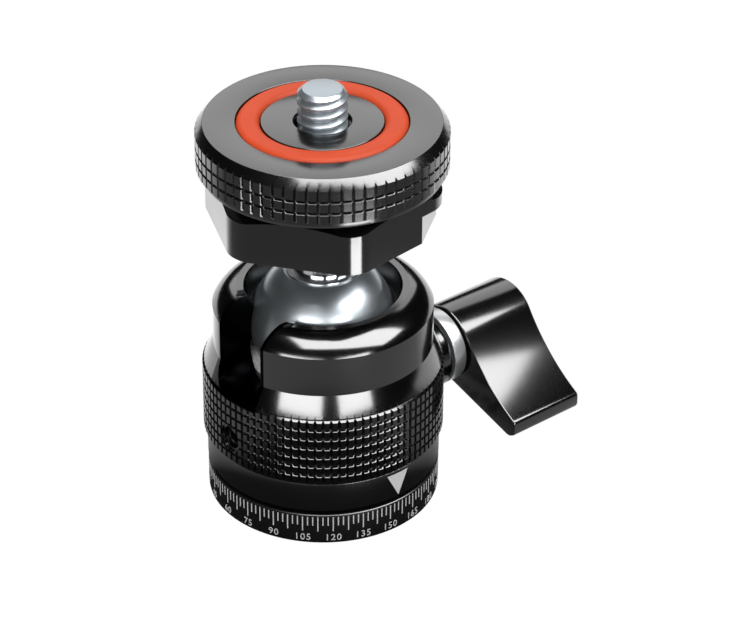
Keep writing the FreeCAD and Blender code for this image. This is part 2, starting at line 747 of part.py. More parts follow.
# Ball with its stem, and the bolt up the middle; both drawn from the ball's centre
ball = place(turned("ball", [
    ("bolt_head_bore", "0 - bolt_rim_drop", "ball_radius", 1),
    ("ball_flat_radius", "ball_flat"),
    ("stem_radius", "ball_flat"),
    ("stem_radius", "stem_length"),
    ("stub_radius", "stem_length"),
    ("stub_radius", "stub_length - edge"),
    ("stub_radius - edge", "stub_length"),
    ("0", "stub_length"),
    ("0", "bolt_bore_top"),
    ("bolt_bore", "bolt_bore_top"),
    ("bolt_bore", "running_gap - bolt_seat_drop"),
    ("bolt_head_bore", "running_gap - bolt_seat_drop"),
]), z="ball_height")
bolt_blank = place(turned("stem_bolt_blank", [
    ("0", "0 - bolt_head_drop"),
    ("bolt_head_radius - edge", "0 - bolt_head_drop"),
    ("bolt_head_radius", "edge - bolt_head_drop"),
    ("bolt_head_radius", "0 - bolt_seat_drop"),
    ("bolt_radius", "0 - bolt_seat_drop"),
    ("bolt_radius", "bolt_top - edge"),
    ("bolt_radius - edge", "bolt_top"),
    ("0", "bolt_top"),
]), z="ball_height")
bolt_socket = place(hexagon_bar("bolt_socket", "bolt_key", "bolt_key_depth + edge"),
                    z="ball_height - bolt_head_drop - edge")
stem_bolt = cut("stem_bolt", bolt_blank, [bolt_socket])

# Hexagonal platform: a hexagon with its corners turned off, chamfered on top
platform_bar = bind(hexagon_bar("platform_bar", "platform_hexagon", "platform_height"))
place(platform_bar, z="platform_low", turn=FreeCAD.Rotation(Z_AXIS, size("platform_turn")))
platform_round = turned("platform_round", [
    ("0", "platform_low"),
    ("platform_corner - edge", "platform_low"),
    ("platform_corner", "platform_low + edge"),
    ("platform_corner", "platform_cone_low"),
    ("platform_cone_top", "platform_top"),
    ("0", "platform_top"),
])
platform_blank = doc.addObject("Part::Common", "platform_blank")
platform_blank.Base = platform_bar
platform_blank.Tool = platform_round
flat_body = doc.addObject("PartDesign::Body", "flat_tool")
flat_sketch = outline_sketch(flat_body, "flat_outline", "XY_Plane", [
    ("flat_reach", "0 - flat_half"),
    ("flat_outside", "0 - flat_half"),
    ("flat_outside", "flat_half"),
    ("flat_reach", "flat_half"),
])
flat_pad = flat_body.newObject("PartDesign::Pad", "flat_pad")
flat_pad.Profile = flat_sketch
bind(flat_pad, Length="flat_height + edge")
place(flat_body, z="platform_low - edge", turn=FreeCAD.Rotation(Z_AXIS, size("flat_turn")))
stub_hole = place(cylinder("stub_hole", "stub_bore", "stub_room - platform_low + edge"),
                  z="platform_low - edge")
stud_hole = place(cylinder("stud_hole", "camera_thread", "platform_top - stub_room + edge"),
                  z="stub_room")
set_screw_way = FreeCAD.Rotation(Z_AXIS, size("set_screw_turn")).multiply(TOWARDS_X)
set_screw_hole = place(cylinder("set_screw_hole", "grub_bore", "platform_corner"),
                       z="set_screw_height", turn=set_screw_way)
hex_platform = cut("hex_platform", platform_blank, [flat_body, stub_hole, stud_hole, set_screw_hole])
set_screw = grub_screw("platform_set_screw", "set_screw_length", "m3_thread - edge", "edge")
platform_set_screw = place(set_screw, z="set_screw_height", turn=set_screw_way)
set_screw.setExpression("Placement.Base.x", "Sizes.set_screw_start * cos(Sizes.set_screw_turn * 1 deg)")
set_screw.setExpression("Placement.Base.y", "Sizes.set_screw_start * sin(Sizes.set_screw_turn * 1 deg)")

# Camera stud
camera_stud = turned("camera_stud", [
    ("0", "stud_low"),
    ("camera_thread", "stud_low"),
    ("camera_thread", "stud_groove_low"),
    ("stud_groove_radius", "stud_groove_low"),
    ("stud_groove_radius", "stud_thread_low"),
    ("camera_thread", "stud_thread_low"),
    ("camera_thread", "stud_point_low"),
    ("stud_point_radius", "stud_top"),
    ("0", "stud_top"),
])

# Washer, locking disc and the rubber grip ring in the disc's face
disc_washer = place(tube("disc_washer", "disc_washer_bore", "disc_washer_outer",
                         "disc_washer_thickness"), z="platform_top")
disc_blank = turned("locking_disc_blank", [
    ("disc_bore", "disc_low"),
    ("disc_lip_radius - edge", "disc_low"),
    ("disc_lip_radius", "disc_low + edge"),
    ("disc_lip_radius", "disc_lip_top"),
    ("disc_radius", "disc_lip_top"),
    ("disc_radius", "disc_knurl_top"),
    ("disc_top_radius", "disc_top"),
    ("ring_groove_outer", "disc_top"),
    ("ring_groove_outer", "ring_groove_low"),
    ("ring_groove_inner", "ring_groove_low"),
    ("ring_groove_inner", "disc_top"),
    ("disc_mouth", "disc_top"),
    ("disc_bore", "disc_mouth_low"),
])
disc_cutters = flutes("disc_flutes_row", "disc_flutes", "disc_radius", "disc_knurl_depth",
                      "disc_lip_top - edge", "disc_knurl_top")
locking_disc = cut("locking_disc", disc_blank, [disc_cutters])
grip_ring = turned("grip_ring", [
    ("grip_inner", "ring_groove_low"),
    ("grip_outer", "ring_groove_low"),
    ("grip_outer", "grip_side", "grip_rounding", 1),
    ("grip_flat_outer", "grip_top"),
    ("grip_flat_inner", "grip_top", "grip_rounding", 1),
    ("grip_inner", "grip_side"),
])

doc.recompute()

PIECES = (pan_base, thread_insert, retaining_ring, pan_washer, wave_washer, index_collar,
          collar_screws, housing, drag_screw, pressure_cup, friction_ring, clamp_collar,
          wing_knob, clamp_screw, knob_pin, ball, stem_bolt, hex_platform, platform_set_screw,
          camera_stud, disc_washer, locking_disc, grip_ring)
for item in doc.Objects:
    if "Invalid" in item.State or "Error" in item.State:
        raise RuntimeError(f"{item.Name} is {item.State}")
for piece in PIECES:
    if piece.Shape.isNull() or not piece.Shape.isValid():
        raise RuntimeError(f"{piece.Name} has no valid shape")

os.makedirs("parts", exist_ok=True)
for piece in PIECES:
    piece.Label = piece.Name
    piece.Shape.exportStep(f"parts/{piece.Name}.step")
    print(piece.Name, len(piece.Shape.Solids), round(piece.Shape.Volume, 1))
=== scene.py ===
# %% [markdown]
# # A small tripod ball head, piece by piece
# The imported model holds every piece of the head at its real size, and it is our frame: we never move it.
# This lesson dresses it. Where a plain solid lacks a knurl, a screw thread or a soft edge, we model a
# finer piece that takes the solid's place, and then we give each piece the finish of the real thing.

# %% Load the frame
import json
import math

import bmesh
import bpy
from mathutils import Matrix, Quaternion, Vector


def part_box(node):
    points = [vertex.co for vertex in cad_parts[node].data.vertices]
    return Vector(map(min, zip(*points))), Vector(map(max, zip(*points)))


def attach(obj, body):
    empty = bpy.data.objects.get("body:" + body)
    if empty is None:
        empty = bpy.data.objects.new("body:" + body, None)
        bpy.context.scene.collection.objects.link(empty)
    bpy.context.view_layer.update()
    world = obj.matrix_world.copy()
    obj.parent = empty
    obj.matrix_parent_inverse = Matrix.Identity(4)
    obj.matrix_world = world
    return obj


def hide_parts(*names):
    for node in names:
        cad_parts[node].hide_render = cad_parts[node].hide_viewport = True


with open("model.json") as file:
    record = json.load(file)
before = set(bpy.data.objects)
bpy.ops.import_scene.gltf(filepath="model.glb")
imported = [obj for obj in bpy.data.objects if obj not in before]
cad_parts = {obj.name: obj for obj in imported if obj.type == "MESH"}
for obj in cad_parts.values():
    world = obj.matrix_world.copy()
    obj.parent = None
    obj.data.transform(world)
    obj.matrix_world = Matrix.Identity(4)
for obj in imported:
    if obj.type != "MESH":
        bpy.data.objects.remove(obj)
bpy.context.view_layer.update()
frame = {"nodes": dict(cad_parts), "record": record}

MM = 0.001

# %% [markdown]
# ## Reading sizes off the frame
# A piece that replaces a solid has to stay where the solid is. So the sizes that both share are read
# from the frame, in millimetres: how far a solid reaches from the pan axis, and its lowest and highest
# point. Only what the solids leave out, such as the depth of a groove, is a number of our own.


# %% Helpers that read sizes
def reach(node):
    """How far a solid reaches sideways along Y, in millimetres."""
    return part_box(node)[1].y / MM


def bottom(node):
    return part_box(node)[0].z / MM


def top(node):
    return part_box(node)[1].z / MM


BASE_RADIUS = reach("pan_base")
COLLAR_RADIUS = reach("index_collar")
COLLAR_LOW = bottom("index_collar")
COLLAR_TOP = top("index_collar")
KNURL_RADIUS = reach("housing")
DOME_TOP = top("housing")
DISC_RADIUS = reach("locking_disc")
DISC_LOW = bottom("locking_disc")
DISC_TOP = top("locking_disc")
PLATFORM_LOW = bottom("hex_platform")
PLATFORM_TOP = top("hex_platform")
STUD_RADIUS = reach("camera_stud")
STUD_TOP = top("camera_stud")
BALL_RADIUS = reach("ball")
CLAMP_HEIGHT = (top("clamp_collar") + bottom("clamp_collar")) / 2
BALL_HEIGHT = 24.5
print("ball radius", round(BALL_RADIUS, 2), "clamp height", round(CLAMP_HEIGHT, 2))

# %% [markdown]
# ## Turning a piece
# Most of the head comes off a lathe, so most pieces start as half of a cross-section: a short list of
# corners, each with its radius and its height. We draw it as one flat face, round its corners with a
# vertex bevel, and spin the outline round the axis. A row may hold a third number, the size of the bevel
# at that corner. A full spin meets itself, so its last ring is merged with the first.


# %% The lathe
LATHE_STEPS = 96
FINE_STEPS = 144
ROUNDING_CUTS = 3
ON_AXIS = 1e-9
SAME_POINT = 1e-7


def arc(start, end, radius, side, pieces=8):
    """Points along an arc; side 1 puts its centre on the left of the way from start to end."""
    across, up = end[0] - start[0], end[1] - start[1]
    chord = math.hypot(across, up)
    back = side * math.sqrt(radius ** 2 - chord ** 2 / 4) / chord
    middle = ((start[0] + end[0]) / 2 - up * back, (start[1] + end[1]) / 2 + across * back)
    first = math.atan2(start[1] - middle[1], start[0] - middle[0])
    turn = 2 * math.asin(chord / 2 / radius) * side
    points = []
    for step in range(pieces + 1):
        angle = first + turn * step / pieces
        points.append((middle[0] + radius * math.cos(angle), middle[1] + radius * math.sin(angle)))
    return points


def lathe(outline, steps=LATHE_STEPS):
    """Spin an outline of (radius, height, optional bevel) rows round the Z axis into a closed mesh."""
    bm = bmesh.new()
    corners = [bm.verts.new((row[0] * MM, 0, row[1] * MM)) for row in outline]
    bm.faces.new(corners)
    for corner, row in zip(corners, outline):
        if len(row) > 2:
            bmesh.ops.bevel(bm, geom=[corner], offset=row[2] * MM, segments=ROUNDING_CUTS, profile=0.5,
                            affect="VERTICES", material=-1)
    bmesh.ops.delete(bm, geom=bm.faces[:], context="FACES_ONLY")
    on_axis = [edge for edge in bm.edges if all(abs(vert.co.x) < ON_AXIS for vert in edge.verts)]
    bmesh.ops.delete(bm, geom=on_axis, context="EDGES")
    bmesh.ops.spin(bm, geom=bm.verts[:] + bm.edges[:], axis=(0, 0, 1), cent=(0, 0, 0),
                   angle=2 * math.pi, steps=steps, use_merge=True)
    bmesh.ops.remove_doubles(bm, verts=bm.verts, dist=SAME_POINT)
    bmesh.ops.recalc_face_normals(bm, faces=bm.faces)
    return bm


# %% [markdown]
# ## From a mesh to a piece
# A finished piece needs five things: smooth shading with its real edges kept sharp, a name, the finish
# of its slot, the body that it moves with, and the solids that it stands for. The name comes with the
# mesh, and one function does the other four, noting the slot so that its finish is given later; so no
# piece can miss one. It also prints whether the mesh is closed, because a gap in a mesh shows up only
# later, as a dark seam or a failed cut.

# %% Make a piece
SHARP_ANGLE = math.radians(28)
finishes = {}


def flat_object(bm, name):
    """Put a mesh in the scene at the origin, with no finish yet."""
    mesh = bpy.data.meshes.new(name)
    bm.to_mesh(mesh)
    bm.free()
    made = bpy.data.objects.new(name, mesh)
    bpy.context.scene.collection.objects.link(made)
    return made


def open_edges(mesh):
    """Count the edges that don't have exactly two faces; a closed mesh has none."""
    bm = bmesh.new()
    bm.from_mesh(mesh)
    count = sum(len(edge.link_faces) != 2 for edge in bm.edges)
    bm.free()
    return count


def shade(mesh, sharp_angle=SHARP_ANGLE):
    """Shade smooth, and keep the edges that turn by more than an angle sharp."""
    bm = bmesh.new()
    bm.from_mesh(mesh)
    for face in bm.faces:
        face.smooth = True
    for edge in bm.edges:
        edge.smooth = len(edge.link_faces) == 2 and edge.calc_face_angle() < sharp_angle
    bm.to_mesh(mesh)
    bm.free()


def piece(made, body, slot, *nodes, sharp_angle=SHARP_ANGLE):
    """Finish an object as a piece of the head, riding on a body in place of some solids."""
    shade(made.data, sharp_angle)
    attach(made, body)
    if nodes:
        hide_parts(*nodes)
    finishes.setdefault(slot, []).append(made)
    print(f"{made.name}: {len(made.data.polygons)} faces, {open_edges(made.data)} open edges")
    return made


# %% [markdown]
# ## Cutting and joining
# A mill and a drill take material away from the turned blank, and Blender's exact Boolean does the same
# with closed meshes. We apply it at once through the evaluated object, so that the finished piece has a
# plain mesh and no live modifier. The tool is thrown away after the cut. A cut also leaves specks of
# edge where two edges nearly meet, and they are merged at once, because the next cut would trip on them.

# %% Cut, join and merge the specks
SPECK = 2e-6


def tidy_mesh(mesh):
    """Merge the specks that a cut leaves where two edges nearly meet."""
    bm = bmesh.new()
    bm.from_mesh(mesh)
    bmesh.ops.remove_doubles(bm, verts=bm.verts, dist=SPECK)
    bmesh.ops.dissolve_degenerate(bm, dist=SPECK / 2, edges=bm.edges)
    bm.to_mesh(mesh)
    bm.free()


def carve(blank, tool, operation="DIFFERENCE"):
    """Cut a tool out of a blank, join the two or keep what they share."""
    change = blank.modifiers.new("carve", "BOOLEAN")
    change.operation = operation
    change.solver = "EXACT"
    change.object = tool
    ready = blank.evaluated_get(bpy.context.evaluated_depsgraph_get())
    fresh = bpy.data.meshes.new_from_object(ready)
    blank.modifiers.clear()
    spent = blank.data
    blank.data = fresh
    bpy.data.meshes.remove(spent)
    tidy_mesh(fresh)
    print(f"{blank.name} {operation.lower()} {tool.name}: {open_edges(fresh)} open edges")
    bpy.data.objects.remove(tool)
    return blank


# %% [markdown]
# The tools are simple closed shapes: a round rod, a hexagonal bar, a bar with any outline and a box.
# A round tool is turned a little about its axis first. Its edges would otherwise lie exactly on edges of
# the blank, and the exact Boolean does badly with edges that coincide.

# %% Round and six-sided tools
TWIST = math.radians(1.7)


def twisted(bm):
    """Turn a round tool a little, so that none of its edges meets an edge of the blank."""
    bmesh.ops.rotate(bm, verts=bm.verts, cent=(0, 0, 0), matrix=Matrix.Rotation(TWIST, 3, "Z"))
    return bm


def rod(radius, low, high, steps=48, name="rod"):
    """A plain round tool that stands on the Z axis."""
    return flat_object(twisted(lathe([(0, low), (radius, low), (radius, high), (0, high)], steps)), name)


def six_sided(flats, low, high):
    """A hexagonal bar on the Z axis, with its first corner along X."""
    return flat_object(lathe([(0, low), (flats / math.cos(math.pi / 6), low),
                              (flats / math.cos(math.pi / 6), high), (0, high)], 6), "hexagon")


# %% Bars and boxes, and how to lay them
def lay(tool, turn, place):
    """Turn a tool about the origin and then move it, inside its mesh."""
    tool.data.transform(Matrix.Translation(Vector(place) * MM) @ turn.to_4x4())
    return tool


def bar(outline, length):
    """Draw an outline flat on XY and pull it up into a bar."""
    bm = bmesh.new()
    face = bm.faces.new([bm.verts.new((x * MM, y * MM, 0)) for x, y in outline])
    raised = bmesh.ops.extrude_face_region(bm, geom=[face])["geom"]
    moved = [item for item in raised if isinstance(item, bmesh.types.BMVert)]
    bmesh.ops.translate(bm, vec=(0, 0, length * MM), verts=moved)
    bmesh.ops.recalc_face_normals(bm, faces=bm.faces)
    return bm


ALONG_X = Matrix.Rotation(math.pi / 2, 3, "Y")
ALONG_MINUS_X = Matrix.Rotation(-math.pi / 2, 3, "Y")
SIDEWAYS = Matrix(((0, 0, -1), (-1, 0, 0), (0, 1, 0)))


def block(x_range, y_range, z_range, name="block"):
    """A plain box tool between three pairs of coordinates."""
    bm = bmesh.new()
    bmesh.ops.create_cube(bm, size=1)
    ranges = (x_range, y_range, z_range)
    spans = [(high - low) * MM for low, high in ranges]
    middles = [(high + low) / 2 * MM for low, high in ranges]
    bmesh.ops.scale(bm, vec=spans, verts=bm.verts)
    bmesh.ops.translate(bm, vec=middles, verts=bm.verts)
    return flat_object(bm, name)


# %% [markdown]
# ## Knurling
# A knurl wheel presses rows of small blocks into a rim. The grooves that run round the rim are part of
# the lathe outline. The upright grooves are cut afterwards, by one V-shaped blade that is spun round
# the axis as separate copies. The blade runs on above the rows and fades out where the rim gets
# smaller, and that leaves the little teeth that show along the edge of the shoulder.

# %% Knurl rows and blades
GROOVE_HALF = 0.22
GROOVE_DEPTH = 0.36
BLADE_PAST = 0.3


def knurl_rows(crest, low, pitch, rows):
    """The outline of a rim with grooves that run round it, from the bottom row to the top one."""
    points = []
    for row in range(rows):
        start = low + row * pitch
        points.append((crest - GROOVE_DEPTH, start))
        points.append((crest, start + GROOVE_HALF))
        points.append((crest, start + pitch - GROOVE_HALF))
    return points


def blades(crest, depth, low, high, count):
    """A ring of upright V-shaped blades, as many as the knurl has blocks in a row."""
    root = crest - depth
    outside = crest + BLADE_PAST
    half = GROOVE_HALF * (outside - root) / depth
    bm = bar([(root, 0), (outside, -half), (outside, half)], high - low)
    bmesh.ops.translate(bm, vec=(0, 0, low * MM), verts=bm.verts)
    bmesh.ops.rotate(bm, verts=bm.verts, cent=(0, 0, 0), matrix=Matrix.Rotation(math.pi / count, 3, "Z"))
    bmesh.ops.spin(bm, geom=bm.verts[:] + bm.edges[:] + bm.faces[:], axis=(0, 0, 1), cent=(0, 0, 0),
                   angle=2 * math.pi * (count - 1) / count, steps=count - 1, use_duplicate=True)
    return flat_object(bm, "blades")


# %% [markdown]
# ## The pan base
# The base is the foot of the head. It carries a degree scale on its rim, and a camera tripod's screw
# goes into its middle from below. It is a turned part with three drilled holes, through which the
# screws of the collar above are reached. The soft upper edge matters: it is the thin bright line that
# the eye takes for a sharp, well-made rim.

# %% Pan base
BASE_TOP = 4.4
HUB_RADIUS = 7.5
HUB_TOP = top("pan_base")
CLIP_GROOVE_RADIUS = 6.9
CLIP_GROOVE_LOW = 8.55
CLIP_GROOVE_HIGH = 9.15
INSERT_RADIUS = reach("thread_insert")
INSERT_TOP = top("thread_insert")
SCREW_CIRCLE = 12.2
SCREW_ANGLES = (90, 210, 330)
ACCESS_RADIUS = 2.1
DRILL_STEPS = 32

pan_base = flat_object(lathe([
    (INSERT_RADIUS, 0),
    (BASE_RADIUS, 0, 0.3),
    (BASE_RADIUS, BASE_TOP, 0.22),
    (HUB_RADIUS, BASE_TOP),
    (HUB_RADIUS, CLIP_GROOVE_LOW),
    (CLIP_GROOVE_RADIUS, CLIP_GROOVE_LOW),
    (CLIP_GROOVE_RADIUS, CLIP_GROOVE_HIGH),
    (HUB_RADIUS, CLIP_GROOVE_HIGH),
    (HUB_RADIUS, HUB_TOP),
    (0, HUB_TOP),
    (0, INSERT_TOP),
    (INSERT_RADIUS, INSERT_TOP),
], FINE_STEPS), "pan_base_turned")
for angle in SCREW_ANGLES:
    hole = rod(ACCESS_RADIUS, -1, BASE_TOP + 1, DRILL_STEPS)
    bore_place = Matrix.Rotation(math.radians(angle), 3, "Z") @ Vector((SCREW_CIRCLE, 0, 0))
    carve(pan_base, lay(hole, Matrix.Identity(3), bore_place))
piece(pan_base, "base", "base_finish", "pan_base")

# %% [markdown]
# ## The degree scale
# The scale is white paint in fine engraved lines. We make each line a thin strip that lies on the rim,
# every 2.5 degrees, and longer at every third one. All strips are first drawn on a flat sheet, with
# the distance round the rim along X and the height along Y, and one function then rolls the sheet on
# to the cylinder. The figures take the same way, so they follow the rim as the real ones do.

# %% Roll a flat drawing on to a rim
PAINT = 0.03


def roll(bm, radius, middle_angle):
    """Bend a flat drawing (X round, Y up, Z out) on to a cylinder, centred on an angle in degrees."""
    for vert in bm.verts:
        angle = math.radians(middle_angle) + vert.co.x / (radius * MM)
        out = radius * MM + vert.co.z
        vert.co = Vector((out * math.cos(angle), out * math.sin(angle), vert.co.y))


def strip(bm, x, width, low, high):
    """Draw one upright strip of paint on the flat sheet."""
    made = bmesh.ops.create_cube(bm, size=1)["verts"]
    bmesh.ops.scale(bm, vec=(width * MM, (high - low) * MM, 2 * PAINT * MM), verts=made)
    bmesh.ops.translate(bm, vec=(x * MM, (high + low) / 2 * MM, 0), verts=made)


# %% Scale lines
LINE_STEP = 2.5
LINES_PER_LONG = 3
LINE_TOP = 4.08
LINE_SHORT = 1.3
LINE_LONG = 2.15
LINE_WIDTH = 0.14
ANGLE_AT_120 = -124.6
SCALE_START = ANGLE_AT_120 - 120

lines = bmesh.new()
for number in range(int(360 / LINE_STEP)):
    length = LINE_SHORT if number % LINES_PER_LONG else LINE_LONG
    round_rim = math.radians(number * LINE_STEP) * BASE_RADIUS
    strip(lines, round_rim, LINE_WIDTH, LINE_TOP - length, LINE_TOP)
roll(lines, BASE_RADIUS, SCALE_START)
piece(flat_object(lines, "scale_lines"), "base", "mark_white")

# %% [markdown]
# Every 15 degrees has its figure under the lines. A text object gives the shapes of the digits. It is
# made a mesh before it is moved or bent, because a text's own settings would be lost in a transform. The
# outline is drawn in by a hair, which keeps the strokes as thin as engraved ones.

# %% Scale figures
FIGURE_STEP = 15
FIGURE_LOW = 0.52
FIGURE_HEIGHT = 1.0
CAPITAL_SHARE = 0.73
LETTER_SPACING = 1.12
STROKE_TRIM = 0.004
CURVE_CUTS = 3


def figure_mesh(text, height):
    """Write a figure, centred on the sheet, as a thin closed mesh."""
    curve = bpy.data.curves.new("figure", "FONT")
    curve.body = text
    curve.align_x = "CENTER"
    curve.size = height / CAPITAL_SHARE * MM
    curve.space_character = LETTER_SPACING
    curve.extrude = PAINT * MM
    curve.offset = -STROKE_TRIM * MM
    curve.resolution_u = CURVE_CUTS
    writing = bpy.data.objects.new("figure", curve)
    bpy.context.scene.collection.objects.link(writing)
    ready = writing.evaluated_get(bpy.context.evaluated_depsgraph_get())
    mesh = bpy.data.meshes.new_from_object(ready)
    bpy.data.objects.remove(writing)
    return mesh


figures = bmesh.new()
for degrees in range(0, 360, FIGURE_STEP):
    mesh = figure_mesh(str(degrees), FIGURE_HEIGHT)
    one = bmesh.new()
    one.from_mesh(mesh)
    bmesh.ops.remove_doubles(one, verts=one.verts, dist=SAME_POINT)
    bmesh.ops.translate(one, vec=(0, FIGURE_LOW * MM, 0), verts=one.verts)
    roll(one, BASE_RADIUS, SCALE_START + degrees)
    one.to_mesh(mesh)
    one.free()
    figures.from_mesh(mesh)
    bpy.data.meshes.remove(mesh)
piece(flat_object(figures, "scale_figures"), "base", "mark_white")

# %% [markdown]
# ## The index collar
# The smooth ring above the gap turns with the housing. It is turned with a wide hollow inside, which
# leaves room for the spring washer, and three screws come up through it from below.

# %% Index collar
CAVITY_RADIUS = 9.6
COLLAR_FLOOR = 7.6
COLLAR_BORE = HUB_RADIUS + 0.05
COUNTERBORE_RADIUS = 2.05
COUNTERBORE_TOP = 7.0

collar = flat_object(lathe([
    (COLLAR_BORE, COLLAR_LOW),
    (COLLAR_RADIUS, COLLAR_LOW, 0.18),
    (COLLAR_RADIUS, COLLAR_TOP, 0.14),
    (CAVITY_RADIUS, COLLAR_TOP),
    (CAVITY_RADIUS, COLLAR_FLOOR),
    (COLLAR_BORE, COLLAR_FLOOR),
], FINE_STEPS), "index_collar_turned")
for angle in SCREW_ANGLES:
    hole = rod(COUNTERBORE_RADIUS, COLLAR_LOW - 1, COUNTERBORE_TOP, DRILL_STEPS)
    bore_place = Matrix.Rotation(math.radians(angle), 3, "Z") @ Vector((SCREW_CIRCLE, 0, 0))
    carve(collar, lay(hole, Matrix.Identity(3), bore_place))
piece(collar, "housing_group", "collar_finish", "index_collar")

# %% [markdown]
# The white triangle on the collar points at the scale. It is drawn flat, cut into narrow bands so that
# it can bend, and rolled on like the scale.

# %% Index mark
MARK_TIP_ANGLE = -90
MARK_LEFT = -6.75
MARK_RIGHT = 5.9
MARK_TIP = 5.34
MARK_TOP = 8.7
MARK_BANDS = 12

across = math.radians(1) * COLLAR_RADIUS
mark = bar([(0, MARK_TIP), (MARK_RIGHT * across, MARK_TOP), (MARK_LEFT * across, MARK_TOP)], PAINT)
for band in range(1, MARK_BANDS):
    cut_x = (MARK_LEFT + (MARK_RIGHT - MARK_LEFT) * band / MARK_BANDS) * across * MM
    bmesh.ops.bisect_plane(mark, geom=mark.verts[:] + mark.edges[:] + mark.faces[:],
                           plane_co=(cut_x, 0, 0), plane_no=(1, 0, 0))
roll(mark, COLLAR_RADIUS, MARK_TIP_ANGLE)
piece(flat_object(mark, "index_mark"), "housing_group", "mark_white")

# %% [markdown]
# ## The housing
# The housing is the heart of the head: a knurled ring to grip, a shoulder, a plain band, and a dome
# that holds the ball down. It comes off the lathe as one outline, and the upright grooves are then
# pressed in. The dome meets the band at a clear crease, so its shading keeps quite low angles sharp.

# %% Turn and knurl the housing
KNURL_LOW = 9.46
KNURL_PITCH = 1.37
KNURL_ROWS = 7
KNURL_COUNT = 96
KNURL_TOP = KNURL_LOW + KNURL_PITCH * KNURL_ROWS
SHOULDER_RADIUS = KNURL_RADIUS - 0.25
SHOULDER_LOW = BALL_HEIGHT - 5.25
BAND_RADIUS = KNURL_RADIUS - 1.45
BAND_LOW = BALL_HEIGHT - 2.5
BAND_HIGH = BALL_HEIGHT + 2.9
SHOULDER_ROUND = 30.0
DOME_RADIUS = BAND_RADIUS - 3.1
DOME_ROUND = 4.9
LIP_HEIGHT = BALL_HEIGHT + 3.0
SEAT_RADIUS = BALL_RADIUS + 0.1
LIP_RADIUS = math.sqrt(SEAT_RADIUS ** 2 - (LIP_HEIGHT - BALL_HEIGHT) ** 2)
FUNNEL_RADIUS = LIP_RADIUS + 1.13
BLADE_DEPTH = 0.42
BLADE_BELOW = 0.1

housing = flat_object(lathe([
    (CAVITY_RADIUS, COLLAR_TOP),
    (COLLAR_RADIUS, COLLAR_TOP),
    (COLLAR_RADIUS, KNURL_LOW - 0.01),
    *knurl_rows(KNURL_RADIUS, KNURL_LOW, KNURL_PITCH, KNURL_ROWS),
    (KNURL_RADIUS - GROOVE_DEPTH, KNURL_TOP),
    *arc((SHOULDER_RADIUS, SHOULDER_LOW), (BAND_RADIUS, BAND_LOW), SHOULDER_ROUND, 1),
    *arc((BAND_RADIUS, BAND_HIGH), (DOME_RADIUS, DOME_TOP), DOME_ROUND, 1, 14),
    (FUNNEL_RADIUS, DOME_TOP, 0.12),
    *arc((LIP_RADIUS, LIP_HEIGHT), (SEAT_RADIUS, BALL_HEIGHT), SEAT_RADIUS, -1, 4),
    (CAVITY_RADIUS, BALL_HEIGHT),
], 2 * KNURL_COUNT), "housing_shell")
carve(housing, blades(KNURL_RADIUS, BLADE_DEPTH, KNURL_LOW - BLADE_BELOW, BAND_LOW, KNURL_COUNT))
print("knurled housing:", len(housing.data.polygons), "faces")

# %% [markdown]
# The boss for the clamp knob is joined on after the knurl, so it stays smooth. It reaches into the
# cavity for the collar, and that end is cut off again.

# %% Boss of the clamp knob
BOSS_RADIUS = 5.2
BOSS_START = CAVITY_RADIUS + 1.4
BOSS_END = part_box("housing")[1].x / MM
BOSS_ROUNDING = 1.0
BOSS_CUTS = 12
ROOM_MARGIN = 0.1

boss = flat_object(lathe([
    (0, BOSS_START),
    (BOSS_RADIUS, BOSS_START),
    *arc((BOSS_RADIUS, BOSS_END - BOSS_ROUNDING), (BOSS_RADIUS - BOSS_ROUNDING, BOSS_END),
         BOSS_ROUNDING, 1, BOSS_CUTS),
    (0, BOSS_END),
], 64), "boss")
carve(housing, lay(boss, ALONG_X, (0, 0, CLAMP_HEIGHT)), "UNION")
room_radius = COLLAR_RADIUS + ROOM_MARGIN
carve(housing, rod(room_radius, COLLAR_LOW, COLLAR_TOP, FINE_STEPS, "collar_room"))

# %% [markdown]
# The drop notch is milled from the side, down to a round bottom that fits the stem. The outline of the
# cutter's way is a U: two quarter arcs and two straight walls. Then two bores are drilled along X, one
# for the clamp screw and, opposite, a stepped one for the drag screw.

# %% Notch and bores
CLAMP_BORE = 2.55
CLAMP_BORE_START = 6.8
NOTCH_HALF = 4.15
NOTCH_HEIGHT = BALL_HEIGHT - 1.7
NOTCH_REACH = KNURL_RADIUS + 0.5
NOTCH_CUTS = 16
GRUB_BORE = 1.55
GRUB_BORE_START = 7
GRUB_LAND = 1.9
GRUB_LAND_DEPTH = 0.5

notch_foot = (0, NOTCH_HEIGHT - NOTCH_HALF)
notch_outline = (arc((-NOTCH_HALF, NOTCH_HEIGHT), notch_foot, NOTCH_HALF, 1, NOTCH_CUTS)
                 + arc(notch_foot, (NOTCH_HALF, NOTCH_HEIGHT), NOTCH_HALF, 1, NOTCH_CUTS)[1:]
                 + [(NOTCH_HALF, DOME_TOP + 1), (-NOTCH_HALF, DOME_TOP + 1)])
carve(housing, lay(flat_object(bar(notch_outline, NOTCH_REACH), "notch"), SIDEWAYS, (0, 0, 0)))
clamp_drill = rod(CLAMP_BORE, CLAMP_BORE_START, BOSS_END + 1)
carve(housing, lay(clamp_drill, ALONG_X, (0, 0, CLAMP_HEIGHT)))
grub_way = twisted(lathe([
    (0, GRUB_BORE_START),
    (GRUB_BORE, GRUB_BORE_START),
    (GRUB_BORE, KNURL_RADIUS - GRUB_LAND_DEPTH),
    (GRUB_LAND, KNURL_RADIUS - GRUB_LAND_DEPTH),
    (GRUB_LAND, KNURL_RADIUS + 1),
    (0, KNURL_RADIUS + 1),
], 40))
carve(housing, lay(flat_object(grub_way, "grub_way"), ALONG_MINUS_X, (0, 0, CLAMP_HEIGHT)))
print("milled housing:", len(housing.data.polygons), "faces")

